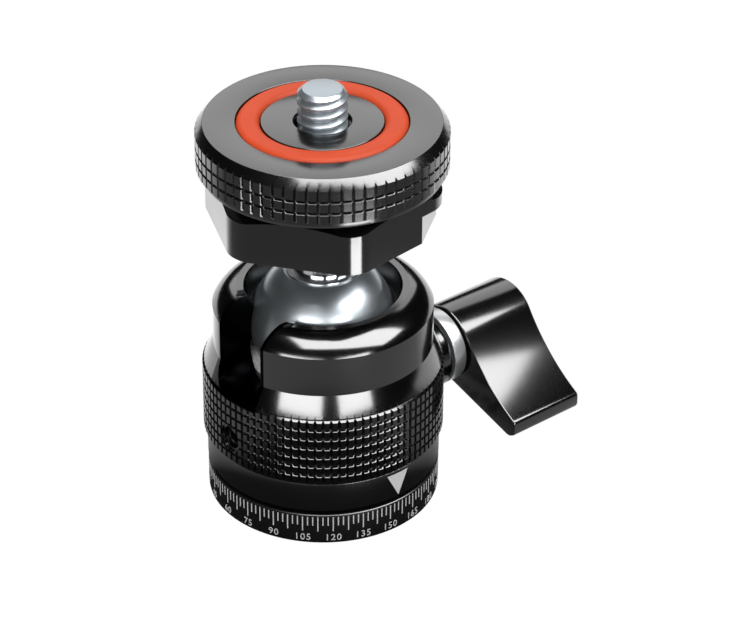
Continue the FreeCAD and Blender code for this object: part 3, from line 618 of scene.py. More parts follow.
# %% [markdown]
# A milled slot in a black part is broken with a file along its edges, and those edges catch the light.
# The cut leaves short scraps of edge where it crosses the mesh, and a bevel would choke on them. So
# points that lie very close to the cut are first welded on to it, and then the notch's rim is bevelled.

# %% Break the edges of the notch
NOTCH_EDGE = 0.28
WELD_REACH = 0.32
WELD_ACROSS = 1.2
WELD_BELOW = 1
WALL_START = 0.2
ON_WALL = 0.002
RIM_ANGLE = math.radians(30)
CREASE_ANGLE = math.radians(12)

bm = bmesh.new()
bm.from_mesh(housing.data)


def on_notch(vert):
    """Is a point on one of the two flat walls of the notch?"""
    flat_wall = abs(abs(vert.co.y) - NOTCH_HALF * MM) < ON_WALL * MM
    return flat_wall and vert.co.x < 0 and vert.co.z > (NOTCH_HEIGHT + WALL_START) * MM


cut_points = [vert for vert in bm.verts if on_notch(vert)]
near = [vert for vert in bm.verts if vert.co.x < 0 and abs(vert.co.y) < (NOTCH_HALF + WELD_ACROSS) * MM
        and vert.co.z > (NOTCH_HEIGHT - WELD_BELOW) * MM]
welds = bmesh.ops.find_doubles(bm, verts=near, keep_verts=cut_points, dist=WELD_REACH * MM)
bmesh.ops.weld_verts(bm, targetmap=welds["targetmap"])
rim = []
for edge in bm.edges:
    if all(on_notch(vert) for vert in edge.verts) and len(edge.link_faces) == 2:
        if edge.calc_face_angle() > RIM_ANGLE:
            rim.append(edge)
bmesh.ops.bevel(bm, geom=rim, offset=NOTCH_EDGE * MM, segments=2, profile=0.5, affect="EDGES",
                clamp_overlap=True, material=-1)
print("notch edges bevelled:", len(rim))
bm.to_mesh(housing.data)
bm.free()
piece(housing, "housing_group", "housing_finish", "housing", sharp_angle=CREASE_ANGLE)

# %% [markdown]
# ## The clamp collar
# The bright collar between the boss and the knob is a plain turned ring. It is spun upright round the
# pan axis like the rest, and then laid along the clamp screw.

# %% Clamp collar
CLAMP_COLLAR_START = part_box("clamp_collar")[0].x / MM
CLAMP_COLLAR_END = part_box("clamp_collar")[1].x / MM
CLAMP_COLLAR_RADIUS = reach("clamp_collar")
collar_ring = flat_object(lathe([
    (CLAMP_BORE, CLAMP_COLLAR_START),
    (CLAMP_COLLAR_RADIUS, CLAMP_COLLAR_START, 0.16),
    (CLAMP_COLLAR_RADIUS, CLAMP_COLLAR_END, 0.2),
    (CLAMP_BORE, CLAMP_COLLAR_END),
], 96), "clamp_collar_ring")
lay(collar_ring, ALONG_X, (0, 0, CLAMP_HEIGHT))
piece(collar_ring, "clamp_slide", "collar_silver", "clamp_collar")

# %% [markdown]
# ## The wing knob
# The knob has one wing, drawn as an outline across its screw: a round head that runs into a hollow
# flank without a corner. For that, the hollow arc has to touch the head where both point the same way,
# so its centre lies on a line through the head's centre. The triangle of the two centres and the wing's
# tip gives the angle.

# %% Wing knob outline
KNOB_RADIUS = 5.35
KNOB_DROP = 0.15
KNOB_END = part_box("wing_knob")[1].x / MM
KNOB_START = CLAMP_COLLAR_END + 0.4
KNOB_SPIGOT_RADIUS = 3.6
WING_HOLLOW = 26.0
WING_TIP = (14.35, -5.9)
WING_TIP_LOW = (14.35, -7.8)
WING_END = (13.2, -8.46)
WING_ROOT = (1.55, -5.28)

head = Vector((0, -KNOB_DROP))
to_tip = Vector(WING_TIP) - head
centres = KNOB_RADIUS + WING_HOLLOW
swing = math.acos((centres ** 2 + to_tip.length ** 2 - WING_HOLLOW ** 2)
                  / (2 * centres * to_tip.length))
touch = math.atan2(to_tip.y, to_tip.x) + swing
neck = head + KNOB_RADIUS * Vector((math.cos(touch), math.sin(touch)))
crown = head + Vector((0, KNOB_RADIUS))
heel = head - Vector((KNOB_RADIUS, 0))
root = head + (Vector(WING_ROOT) - head).normalized() * KNOB_RADIUS
knob_outline = (arc(tuple(neck), tuple(crown), KNOB_RADIUS, 1, 12)[:-1]
                + arc(tuple(crown), tuple(heel), KNOB_RADIUS, 1, 14)[:-1]
                + arc(tuple(heel), tuple(root), KNOB_RADIUS, 1, 16)
                + [WING_END, WING_TIP_LOW]
                + arc(WING_TIP, tuple(neck), WING_HOLLOW, -1, 20)[:-1])
print("the flank leaves the head at", round(math.degrees(touch), 1), "degrees")

# %% [markdown]
# The outline becomes a face, the face is pulled into a bar, and the bar's end edges are rounded: a lot
# at the outer end, where a finger rests, and just a touch at the inner one. The bar is drawn
# flat on the XY plane and then turned so that its length runs along the clamp screw.

# %% Wing knob
KNOB_EDGE = 0.4
KNOB_INNER_EDGE = 0.13
TIP_ROUNDING = 0.42
TIP_START = 13
TIP_UNDER = -7.7

knob_length = KNOB_END - KNOB_START
bm = bar(knob_outline, knob_length)
tip_edges = []
for edge in bm.edges:
    runs_along = abs(edge.verts[0].co.z - edge.verts[1].co.z) > MM
    spot = edge.verts[0].co / MM
    at_tip = spot.y < TIP_UNDER or abs(spot.y - WING_TIP[1]) < ON_WALL
    if runs_along and spot.x > TIP_START and at_tip:
        tip_edges.append(edge)
bmesh.ops.bevel(bm, geom=tip_edges, offset=TIP_ROUNDING * MM, segments=ROUNDING_CUTS, profile=0.5,
                affect="EDGES", material=-1)
outer_rim = [edge for edge in bm.edges if all(abs(vert.co.z) < ON_AXIS for vert in edge.verts)]
inner_rim = [edge for edge in bm.edges
             if all(vert.co.z > knob_length * MM - ON_AXIS for vert in edge.verts)]
bmesh.ops.bevel(bm, geom=outer_rim, offset=KNOB_EDGE * MM, segments=4, profile=0.5, affect="EDGES",
                material=-1)
inner_rim = [edge for edge in inner_rim if edge.is_valid]
bmesh.ops.bevel(bm, geom=inner_rim, offset=KNOB_INNER_EDGE * MM, segments=2, profile=0.5, affect="EDGES",
                material=-1)
knob = flat_object(bm, "wing_knob_body")
lay(knob, SIDEWAYS, (KNOB_END, 0, CLAMP_HEIGHT))

# %% [markdown]
# Behind the wing, a short spigot runs up to the bright collar. The clamp screw is pressed into the knob,
# and a cross pin through both keeps it from turning, so the knob gets a hole for each.

# %% Spigot, screw hole and pin hole of the knob
SPIGOT_GAP = 0.05
SPIGOT_OVERLAP = 0.5
KNOB_BORE = 2.52
KNOB_HOLE_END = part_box("clamp_screw")[1].x / MM + 0.1
PIN_RADIUS = 0.8
PIN_HOLE_REACH = 6.5
PIN_X = (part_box("knob_pin")[0].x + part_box("knob_pin")[1].x) / 2 / MM
KNOB_SHARP_ANGLE = math.radians(20)

spigot = rod(KNOB_SPIGOT_RADIUS, CLAMP_COLLAR_END + SPIGOT_GAP, KNOB_START + SPIGOT_OVERLAP)
carve(knob, lay(spigot, ALONG_X, (0, 0, CLAMP_HEIGHT)), "UNION")
screw_hole = rod(KNOB_BORE, CLAMP_COLLAR_END - 1, KNOB_HOLE_END)
carve(knob, lay(screw_hole, ALONG_X, (0, 0, CLAMP_HEIGHT)))
pin_hole = rod(PIN_RADIUS, CLAMP_HEIGHT - PIN_HOLE_REACH, top("knob_pin"), DRILL_STEPS)
carve(knob, lay(pin_hole, Matrix.Identity(3), (PIN_X, 0, 0)))
piece(knob, "clamp_knob", "knob_finish", "wing_knob", sharp_angle=KNOB_SHARP_ANGLE)

# %% [markdown]
# ## The drag screw
# A headless screw sits in the knurl under the notch. Only its socket shows: a hexagonal pit with a
# chamfered mouth. It is a turned rod with a six-sided bar taken out of it.

# %% Drag screw
DRAG_END = -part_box("drag_screw")[0].x / MM
DRAG_TIP = -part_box("drag_screw")[1].x / MM
DRAG_RADIUS = 1.5
DRAG_POINT = 0.4
DRAG_KEY = 0.87
DRAG_KEY_DEPTH = 1.6

drag = flat_object(lathe([
    (0, DRAG_TIP),
    (DRAG_POINT, DRAG_TIP),
    (DRAG_RADIUS, DRAG_TIP + DRAG_RADIUS - DRAG_POINT),
    (DRAG_RADIUS, DRAG_END, 0.2),
    (0, DRAG_END),
], 48), "drag_screw_turned")
carve(drag, six_sided(DRAG_KEY, DRAG_END - DRAG_KEY_DEPTH, DRAG_END + 1))
lay(drag, ALONG_MINUS_X, (0, 0, CLAMP_HEIGHT))
piece(drag, "housing_group", "dark_steel", "drag_screw")

# %% [markdown]
# ## Ball and stem
# On the bench the ball and its stem are one turned part, but the two ends are finished differently:
# the ball is satin, so that it grips, and the stem is polished. Two meshes with one finish
# each show that. They meet at the small flat on top of the ball.

# %% Ball
STEM_RADIUS = 3.9
BALL_FLAT_RADIUS = STEM_RADIUS + 1.2
BALL_FLAT = math.sqrt(BALL_RADIUS ** 2 - BALL_FLAT_RADIUS ** 2)
BOLT_HEAD_BORE = 3.45
BOLT_BORE = 2.05
BOLT_SEAT = -5.55
BOLT_RIM = -math.sqrt(BALL_RADIUS ** 2 - BOLT_HEAD_BORE ** 2)

ball = lathe([
    *arc((BOLT_HEAD_BORE, BOLT_RIM), (BALL_FLAT_RADIUS, BALL_FLAT), BALL_RADIUS, 1, 48),
    (BOLT_BORE, BALL_FLAT),
    (BOLT_BORE, BOLT_SEAT),
    (BOLT_HEAD_BORE, BOLT_SEAT),
], 128)
bmesh.ops.translate(ball, vec=(0, 0, BALL_HEIGHT * MM), verts=ball.verts)
piece(flat_object(ball, "ball_satin"), "ball_group", "ball_steel", "ball")

# %% [markdown]
# The stem starts with a small foot on the ball's flat. Its upper end is a thinner stub that goes up into
# the platform, with a recess in its top where the bolt through the ball screws in.

# %% Stem
STUB_RADIUS = STEM_RADIUS - 0.9
STUB_TOP = top("ball")
STUB_RECESS = 2.4
STEM_LOW = BALL_HEIGHT + BALL_FLAT + 0.01
STEM_FOOT = BALL_HEIGHT + BALL_FLAT + 0.3
STEM_FOOT_RADIUS = BALL_FLAT_RADIUS - 0.35

stem = lathe([
    (BOLT_BORE, STEM_LOW),
    (STEM_FOOT_RADIUS, STEM_LOW),
    (STEM_FOOT_RADIUS, STEM_FOOT, 0.08),
    (STEM_RADIUS, STEM_FOOT),
    (STEM_RADIUS, PLATFORM_LOW),
    (STUB_RADIUS, PLATFORM_LOW),
    (STUB_RADIUS, STUB_TOP, 0.25),
    (0, STUB_TOP),
    (0, STUB_TOP - STUB_RECESS),
    (BOLT_BORE, STUB_TOP - STUB_RECESS),
], 96)
piece(flat_object(stem, "stem_polished"), "ball_group", "stem_chrome", "ball")

# %% [markdown]
# ## The hexagonal platform
# The platform is a hexagonal bar with its corners turned down on the lathe and a cone turned on top.
# Keeping what the two shapes share gives the wavy edge where the cone meets the six flats. The
# hexagon's upright corners are rounded first with a bevel, and each rounding then mirrors one light as an
# upright white strip.

# %% Hexagonal platform
PLATFORM_HALF = 13.8
PLATFORM_CORNER = 15.5
PLATFORM_TURN = 5.7
PLATFORM_ROUNDING = 4.0
PLATFORM_CUTS = 12
CONE_LOW = PLATFORM_TOP - 1.35
CONE_TOP = PLATFORM_HALF - 1.0

platform = flat_object(lathe([
    (0, PLATFORM_LOW),
    (PLATFORM_CORNER, PLATFORM_LOW, 0.22),
    (PLATFORM_CORNER, CONE_LOW),
    (CONE_TOP, PLATFORM_TOP),
    (0, PLATFORM_TOP),
], 192), "hex_platform_milled")
hexagon = six_sided(PLATFORM_HALF, PLATFORM_LOW - 1, PLATFORM_TOP + 1)
bm = bmesh.new()
bm.from_mesh(hexagon.data)
upright = [edge for edge in bm.edges if abs(edge.verts[0].co.z - edge.verts[1].co.z) > MM
           and all(vert.co.xy.length > MM for vert in edge.verts)]
setback = PLATFORM_ROUNDING * math.tan(math.pi / 6)
bmesh.ops.bevel(bm, geom=upright, offset=setback * MM, segments=PLATFORM_CUTS, profile=0.5,
                affect="EDGES", material=-1)
bm.to_mesh(hexagon.data)
bm.free()
turned = Matrix.Rotation(math.radians(PLATFORM_TURN), 3, "Z")
carve(platform, lay(hexagon, turned, (0, 0, 0)), "INTERSECT")

# %% [markdown]
# One corner is milled flat lower down, as a place for a spanner. The stem's stub comes in from below and
# the stud from above, and a small screw from the side locks the platform on the stub.

# %% Spanner flat and holes of the platform
FLAT_TURN = PLATFORM_TURN - 60
FLAT_REACH = PLATFORM_HALF - 0.05
FLAT_HALF = 9
FLAT_TOP = PLATFORM_LOW + 3.8
STUB_BORE = STUB_RADIUS + 0.05
STUB_ROOM = 0.1
SET_SCREW_START = 1
SET_SCREW_TURN = PLATFORM_TURN + 30
SET_SCREW_HEIGHT = PLATFORM_LOW + 2.0

flat_mill = block((FLAT_REACH, PLATFORM_CORNER + 1), (-FLAT_HALF, FLAT_HALF), (PLATFORM_LOW - 1, FLAT_TOP))
carve(platform, lay(flat_mill, Matrix.Rotation(math.radians(FLAT_TURN), 3, "Z"), (0, 0, 0)))
carve(platform, rod(STUB_BORE, PLATFORM_LOW - 1, STUB_TOP + STUB_ROOM))
carve(platform, rod(STUD_RADIUS, STUB_TOP, PLATFORM_TOP + 1))
set_screw_hole = rod(GRUB_BORE, SET_SCREW_START, PLATFORM_CORNER + 1, DRILL_STEPS)
set_screw_way = Matrix.Rotation(math.radians(SET_SCREW_TURN), 3, "Z") @ ALONG_X
carve(platform, lay(set_screw_hole, set_screw_way, (0, 0, SET_SCREW_HEIGHT)))
piece(platform, "ball_group", "platform_finish", "hex_platform", sharp_angle=CREASE_ANGLE)

# %% [markdown]
# ## The locking disc
# The disc runs on the stud and is screwed up against the camera. Its rim has three rows of knurling,
# and its face has a groove for the rubber ring. The blades are tall enough to nick the chamfer above
# the knurl.

# %% Locking disc
DISC_LIP_RADIUS = DISC_RADIUS - 0.55
DISC_LIP_TOP = DISC_LOW + 0.8
DISC_KNURL_TOP = DISC_TOP - 1.2
DISC_ROWS = 3
DISC_COUNT = 70
DISC_FACE_RADIUS = DISC_RADIUS - 0.95
DISC_BORE = STUD_RADIUS + 0.05
DISC_MOUTH = DISC_BORE + 0.5
RING_INNER = 7.68
RING_OUTER = 10.87
RING_LOW = bottom("grip_ring")
DISC_BLADE_DEPTH = 0.3
DISC_SHARP_ANGLE = math.radians(15)

disc_pitch = (DISC_KNURL_TOP - DISC_LIP_TOP) / DISC_ROWS
disc = flat_object(lathe([
    (DISC_BORE, DISC_LOW),
    (DISC_LIP_RADIUS, DISC_LOW, 0.2),
    (DISC_LIP_RADIUS, DISC_LIP_TOP - 0.05),
    *knurl_rows(DISC_RADIUS, DISC_LIP_TOP, disc_pitch, DISC_ROWS)[:-1],
    (DISC_RADIUS, DISC_KNURL_TOP),
    (DISC_FACE_RADIUS, DISC_TOP, 0.06),
    (RING_OUTER, DISC_TOP, 0.08),
    (RING_OUTER, RING_LOW),
    (RING_INNER, RING_LOW),
    (RING_INNER, DISC_TOP, 0.08),
    (DISC_MOUTH, DISC_TOP),
    (DISC_BORE, DISC_TOP - 0.5),
], 2 * DISC_COUNT), "locking_disc_knurled")
carve(disc, blades(DISC_RADIUS, DISC_BLADE_DEPTH, DISC_LIP_TOP - 0.02, DISC_TOP, DISC_COUNT))
piece(disc, "disc", "disc_finish", "locking_disc", sharp_angle=DISC_SHARP_ANGLE)

# %% [markdown]
# ## The grip ring
# A rubber ring lies in the disc's groove and stands a little proud, so that the camera can't
# slip. Its section is a flat bar with round shoulders.

# %% Grip ring
GRIP_INNER = RING_INNER + 0.05
GRIP_OUTER = RING_OUTER - 0.05
GRIP_TOP = top("grip_ring")
GRIP_SHOULDER = 0.95
GRIP_CUTS = 7

side_top = GRIP_TOP - GRIP_SHOULDER
ring = lathe([
    (GRIP_INNER, RING_LOW),
    (GRIP_OUTER, RING_LOW),
    *arc((GRIP_OUTER, side_top), (GRIP_OUTER - GRIP_SHOULDER, GRIP_TOP), GRIP_SHOULDER, 1, GRIP_CUTS),
    *arc((GRIP_INNER + GRIP_SHOULDER, GRIP_TOP), (GRIP_INNER, side_top), GRIP_SHOULDER, 1, GRIP_CUTS),
], FINE_STEPS)
piece(flat_object(ring, "grip_ring_rubber"), "disc", "grip_rubber", "grip_ring")

# %% [markdown]
# ## The camera stud
# The stud is a 1/4 inch camera screw with 20 turns per inch, so its thread climbs 1.27 mm a turn. A
# screw thread is one tooth spun round the axis while it rises: spin takes a small lift for each
# step. The ends run out past the stud, so two flat cuts trim them and close the ends.

# %% Threads
THREAD_PITCH = 1.27
THREAD_STEPS = 40
THREAD_FLAT = 0.2
THREAD_RUN_IN = 1.013
SAME_THREAD_POINT = 1e-6


def thread(root, crest, low, high, name):
    """A closed screw thread between two heights."""
    rises = (0, (THREAD_PITCH - THREAD_FLAT) / 2, (THREAD_PITCH + THREAD_FLAT) / 2,
             THREAD_PITCH - THREAD_FLAT / 2)
    radii = (root, crest, crest, root)
    turns = math.ceil((high - low) / THREAD_PITCH) + 2
    start = low - THREAD_RUN_IN * THREAD_PITCH
    bm = bmesh.new()
    tooth = [bm.verts.new((radius * MM, 0, (start + rise) * MM))
             for radius, rise in zip(radii, rises)]
    tooth.append(bm.verts.new((root * MM, 0, (start + THREAD_PITCH) * MM)))
    for one, following in zip(tooth, tooth[1:]):
        bm.edges.new((one, following))
    bmesh.ops.spin(bm, geom=bm.verts[:] + bm.edges[:], axis=(0, 0, 1), cent=(0, 0, 0),
                   angle=2 * math.pi * turns, dvec=(0, 0, THREAD_PITCH / THREAD_STEPS * MM),
                   steps=THREAD_STEPS * turns, use_merge=False)
    bmesh.ops.remove_doubles(bm, verts=bm.verts, dist=SAME_THREAD_POINT)
    for height, above in ((low, False), (high, True)):
        cut = bmesh.ops.bisect_plane(bm, geom=bm.verts[:] + bm.edges[:] + bm.faces[:],
                                     plane_co=(0, 0, height * MM), plane_no=(0, 0, 1),
                                     clear_outer=above, clear_inner=not above)
        rim = [item for item in cut["geom_cut"] if isinstance(item, bmesh.types.BMEdge)]
        bmesh.ops.holes_fill(bm, edges=rim, sides=0)
    bmesh.ops.recalc_face_normals(bm, faces=bm.faces)
    return flat_object(bm, name)


# %% [markdown]
# The thread is cut a little too tall. A turned envelope with a cone on top then trims it, and that
# leaves the chamfer that helps the stud to find its hole. A plain shank below goes into the platform.

# %% Camera stud
STUD_ROOT = 2.5
STUD_CHAMFER = 0.72
STUD_SPARE = 0.4
SHANK_STEPS = 64
THREAD_LOW = 50.0
STUD_LOW = bottom("camera_stud")

stud = thread(STUD_ROOT, STUD_RADIUS, THREAD_LOW, STUD_TOP + STUD_SPARE, "camera_stud_threaded")
envelope = flat_object(twisted(lathe([
    (0, STUD_LOW - 1),
    (STUD_RADIUS + STUD_SPARE, STUD_LOW - 1),
    (STUD_RADIUS + STUD_SPARE, STUD_TOP - STUD_CHAMFER - STUD_SPARE),
    (STUD_RADIUS - STUD_CHAMFER + 0.05, STUD_TOP, 0.08),
    (0, STUD_TOP),
], SHANK_STEPS)), "stud_envelope")
carve(stud, envelope, "INTERSECT")
shank = rod(STUD_RADIUS - 0.05, STUD_LOW, THREAD_LOW + STUD_SPARE, SHANK_STEPS)
carve(stud, shank, "UNION")
piece(stud, "ball_group", "stud_steel", "camera_stud")

# %% [markdown]
# ## Surface effects as node groups
# Black anodising, satin steel and rubber all share a few effects at different strengths: a fine grain
# that breaks up the gloss, turning marks that run round a piece, and edges a little lighter, partly as
# wear and partly as a painted highlight. Each effect is a node group with named inputs, built once. A
# group gives out only masks, values and heights, and the shader itself stays in the material.


# %% Node group helpers
def new_group(name, inputs, outputs):
    """Start a node group with float or vector inputs and float outputs."""
    tree = bpy.data.node_groups.new(name, "ShaderNodeTree")
    for label, kind, value in inputs:
        made = tree.interface.new_socket(label, in_out="INPUT", socket_type=kind)
        if kind == "NodeSocketFloat":
            made.default_value = value
    for label in outputs:
        tree.interface.new_socket(label, in_out="OUTPUT", socket_type="NodeSocketFloat")
    return tree, tree.nodes.new("NodeGroupInput"), tree.nodes.new("NodeGroupOutput")


def link(tree, source, target):
    tree.links.new(source, target)


def maths(tree, operation, first, second, third=None):
    """A Math node with sockets or plain numbers on its inputs; gives its result socket."""
    node = tree.nodes.new("ShaderNodeMath")
    node.operation = operation
    for slot_number, value in enumerate((first, second, third)):
        if value is None:
            continue
        if isinstance(value, (int, float)):
            node.inputs[slot_number].default_value = value
        else:
            link(tree, value, node.inputs[slot_number])
    return node.outputs[0]


def noise(tree, position, scale, detail, roughness=0.5):
    node = tree.nodes.new("ShaderNodeTexNoise")
    node.inputs["Detail"].default_value = detail
    node.inputs["Roughness"].default_value = roughness
    link(tree, position, node.inputs["Vector"])
    if isinstance(scale, (int, float)):
        node.inputs["Scale"].default_value = scale
    else:
        link(tree, scale, node.inputs["Scale"])
    return node.outputs["Fac"]


# %% [markdown]
# The grain mixes a fine speckle with a slow drift from place to place. The mix runs between two
# roughnesses, the speckle alone drives the bump, and the drift alone chooses between two close tones.

# %% Grain group
PATCH_SIZE = 190.0
SPECKLE_SHARE = 0.55

grain_group, given, put = new_group(
    "fine_grain",
    [("Position", "NodeSocketVector", None), ("Scale", "NodeSocketFloat", 9000.0),
     ("Smooth", "NodeSocketFloat", 0.15), ("Rough", "NodeSocketFloat", 0.25)],
    ["Roughness", "Height", "Shade"])
speckle = noise(grain_group, given.outputs["Position"], given.outputs["Scale"], 2.0)
patch = noise(grain_group, given.outputs["Position"], PATCH_SIZE, 3.0, 0.6)
spread = maths(grain_group, "SUBTRACT", given.outputs["Rough"], given.outputs["Smooth"])
blend = maths(grain_group, "ADD", maths(grain_group, "MULTIPLY", speckle, SPECKLE_SHARE),
              maths(grain_group, "MULTIPLY", patch, 1 - SPECKLE_SHARE))
link(grain_group, maths(grain_group, "MULTIPLY_ADD", blend, spread, given.outputs["Smooth"]),
     put.inputs["Roughness"])
link(grain_group, speckle, put.inputs["Height"])
link(grain_group, patch, put.inputs["Shade"])

# %% [markdown]
# A lathe tool leaves fine rings. Their height is a sine wave of the distance from the axis plus the
# height above the base, so it rings both a flat face and an upright wall. A little noise makes the rings
# uneven.

# %% Turning marks group
WOBBLE_SIZE = 60.0
WOBBLE = 0.00004

marks_group, given, put = new_group(
    "turning_marks",
    [("Position", "NodeSocketVector", None), ("Pitch", "NodeSocketFloat", 0.00012)],
    ["Height"])
apart = marks_group.nodes.new("ShaderNodeSeparateXYZ")
link(marks_group, given.outputs["Position"], apart.inputs[0])
squares = [maths(marks_group, "MULTIPLY", apart.outputs[axis], apart.outputs[axis]) for axis in ("X", "Y")]
radius_here = maths(marks_group, "SQRT", maths(marks_group, "ADD", squares[0], squares[1]), 0.0)
along = maths(marks_group, "ADD", radius_here, apart.outputs["Z"])
waver = noise(marks_group, given.outputs["Position"], WOBBLE_SIZE, 2.0)
wobble = maths(marks_group, "MULTIPLY", waver, WOBBLE)
turns_along = maths(marks_group, "DIVIDE", maths(marks_group, "ADD", along, wobble),
                    given.outputs["Pitch"])
wave = maths(marks_group, "SINE", maths(marks_group, "MULTIPLY", turns_along, 2 * math.pi), 0.0)
link(marks_group, maths(marks_group, "MULTIPLY_ADD", wave, 0.5, 0.5), put.inputs["Height"])

# %% [markdown]
# Edges wear first, and they also catch thin highlights, so this mask is partly wear and partly a
# painted highlight. A Bevel node gives the normal that a rounded edge would have, and where it differs
# from the real normal there is an edge. That difference, broken up by noise, is the mask.

# %% Edge wear and painted highlight group
WEAR_AND_HIGHLIGHT_RADIUS = 0.15
WEAR_AND_HIGHLIGHT_GAIN = 8.0
SCUFF_SIZE = 1400.0

wear_and_highlight_group, given, put = new_group(
    "edge_wear_and_highlight",
    [("Position", "NodeSocketVector", None), ("Amount", "NodeSocketFloat", 0.5)],
    ["Mask"])
rounded = wear_and_highlight_group.nodes.new("ShaderNodeBevel")
rounded.samples = 6
rounded.inputs["Radius"].default_value = WEAR_AND_HIGHLIGHT_RADIUS * MM
plain = wear_and_highlight_group.nodes.new("ShaderNodeNewGeometry")
agree = wear_and_highlight_group.nodes.new("ShaderNodeVectorMath")
agree.operation = "DOT_PRODUCT"
link(wear_and_highlight_group, rounded.outputs["Normal"], agree.inputs[0])
link(wear_and_highlight_group, plain.outputs["Normal"], agree.inputs[1])
differ = maths(wear_and_highlight_group, "SUBTRACT", 1.0, agree.outputs["Value"])
sharpness = maths(wear_and_highlight_group, "MULTIPLY", differ, WEAR_AND_HIGHLIGHT_GAIN)
scuffed = noise(wear_and_highlight_group, given.outputs["Position"], SCUFF_SIZE, 4.0, 0.7)
# Partly wear and partly a painted highlight: where the two normals differ, the edge gets a lighter colour.
wear_and_highlight_amount = maths(wear_and_highlight_group, "MULTIPLY", maths(wear_and_highlight_group, "MULTIPLY", sharpness, scuffed),
             given.outputs["Amount"])
limited = wear_and_highlight_group.nodes.new("ShaderNodeClamp")
link(wear_and_highlight_group, wear_and_highlight_amount, limited.inputs["Value"])
link(wear_and_highlight_group, limited.outputs[0], put.inputs["Mask"])
print("node groups:", [group.name for group in bpy.data.node_groups])

# %% [markdown]
# ## Finishes
# Every finish goes through one function: a base colour that drifts a little between two close tones, a
# lighter tone on the edges, partly wear and partly a painted highlight, and a roughness and a bump from
# the groups. Black anodising reflects more than plastic, because the oxide is hard and clear, so its
# index of refraction is set to 1.77.

# %% Build a finish
RELIEF = 0.02
materials = {}


def finish(slot, colour, tone=0.8, metallic=0.0, ior=1.5, smooth=0.2, rough=0.3, grain=9000.0, bump=0.04,
           marks=0.0, pitch=0.00012, wear_and_highlight=0.0, worn_and_highlight_colour=(0.3, 0.3, 0.3), specular=0.5):
    """Make the material of a slot; tone is how dark the second tone is beside the first."""
    material = bpy.data.materials.new(slot)
    material.use_nodes = True
    tree = material.node_tree
    shader = tree.nodes["Principled BSDF"]
    shader.inputs["Metallic"].default_value = metallic
    shader.inputs["IOR"].default_value = ior
    shader.inputs["Specular IOR Level"].default_value = specular
    coordinates = tree.nodes.new("ShaderNodeTexCoord")
    mapping = tree.nodes.new("ShaderNodeMapping")
    link(tree, coordinates.outputs["Object"], mapping.inputs["Vector"])
    position = mapping.outputs["Vector"]

    grains = tree.nodes.new("ShaderNodeGroup")
    grains.node_tree = grain_group
    link(tree, position, grains.inputs["Position"])
    grains.inputs["Scale"].default_value = grain
    grains.inputs["Smooth"].default_value = smooth
    grains.inputs["Rough"].default_value = rough
    link(tree, grains.outputs["Roughness"], shader.inputs["Roughness"])

    tones = tree.nodes.new("ShaderNodeMix")
    tones.data_type = "RGBA"
    tones.inputs["A"].default_value = (*[part * tone for part in colour], 1)
    tones.inputs["B"].default_value = (*colour, 1)
    link(tree, grains.outputs["Shade"], tones.inputs["Factor"])

    # Lighter colour on the edges, partly wear and partly a painted highlight.
    wear_and_highlight_node = tree.nodes.new("ShaderNodeGroup")
    wear_and_highlight_node.node_tree = wear_and_highlight_group
    link(tree, position, wear_and_highlight_node.inputs["Position"])
    wear_and_highlight_node.inputs["Amount"].default_value = wear_and_highlight
    edges = tree.nodes.new("ShaderNodeMix")
    edges.data_type = "RGBA"
    link(tree, wear_and_highlight_node.outputs["Mask"], edges.inputs["Factor"])
    link(tree, tones.outputs["Result"], edges.inputs["A"])
    edges.inputs["B"].default_value = (*worn_and_highlight_colour, 1)
    link(tree, edges.outputs["Result"], shader.inputs["Base Color"])

    lines_node = tree.nodes.new("ShaderNodeGroup")
    lines_node.node_tree = marks_group
    link(tree, position, lines_node.inputs["Position"])
    lines_node.inputs["Pitch"].default_value = pitch
    height = maths(tree, "MULTIPLY_ADD", lines_node.outputs["Height"], marks, grains.outputs["Height"])
    relief = tree.nodes.new("ShaderNodeBump")
    relief.inputs["Strength"].default_value = bump
    relief.inputs["Distance"].default_value = RELIEF * MM
    link(tree, height, relief.inputs["Height"])
    link(tree, relief.outputs["Normal"], shader.inputs["Normal"])
    materials[slot] = material


# %% [markdown]
# The values below were set against the photograph: the housing, the knob and the platform are
# the glossiest blacks, the disc and the collar are a little softer, and the base is the softest. The
# ball's steel is rough enough to spread each light into a soft patch, and the stem's is not.

# %% The finishes of this head
OXIDE = 1.77

finish("base_finish", (0.006, 0.006, 0.0065), ior=1.7, smooth=0.2, rough=0.3, wear_and_highlight=0.12)
finish("collar_finish", (0.005, 0.005, 0.0055), ior=OXIDE, smooth=0.16, rough=0.24, wear_and_highlight=0.1)
finish("housing_finish", (0.002, 0.002, 0.0023), ior=OXIDE, smooth=0.1, rough=0.17, wear_and_highlight=0.05)
# The knob's pale edge colour is mostly a painted highlight: it draws the thin bright lines along the tip's
# edges.
finish("knob_finish", (0.002, 0.002, 0.0023), ior=OXIDE, smooth=0.12, rough=0.18, wear_and_highlight=0.3,
       worn_and_highlight_colour=(0.5, 0.5, 0.5))
finish("platform_finish", (0.003, 0.003, 0.0034), ior=OXIDE, smooth=0.1, rough=0.16, wear_and_highlight=0.15)
finish("disc_finish", (0.003, 0.003, 0.0034), ior=OXIDE, smooth=0.14, rough=0.22, marks=0.3,
       wear_and_highlight=0.05)
finish("mark_white", (0.86, 0.86, 0.85), tone=0.94, smooth=0.5, rough=0.62, grain=5000.0)
finish("grip_rubber", (0.86, 0.085, 0.016), tone=0.82, smooth=0.4, rough=0.6, grain=3500.0,
       bump=0.15, specular=0.12)
finish("ball_steel", (0.42, 0.46, 0.49), tone=0.9, metallic=0.88, smooth=0.27, rough=0.36,
       marks=0.15, pitch=0.0001)
finish("stem_chrome", (0.72, 0.74, 0.76), tone=0.97, metallic=1.0, smooth=0.08, rough=0.16)
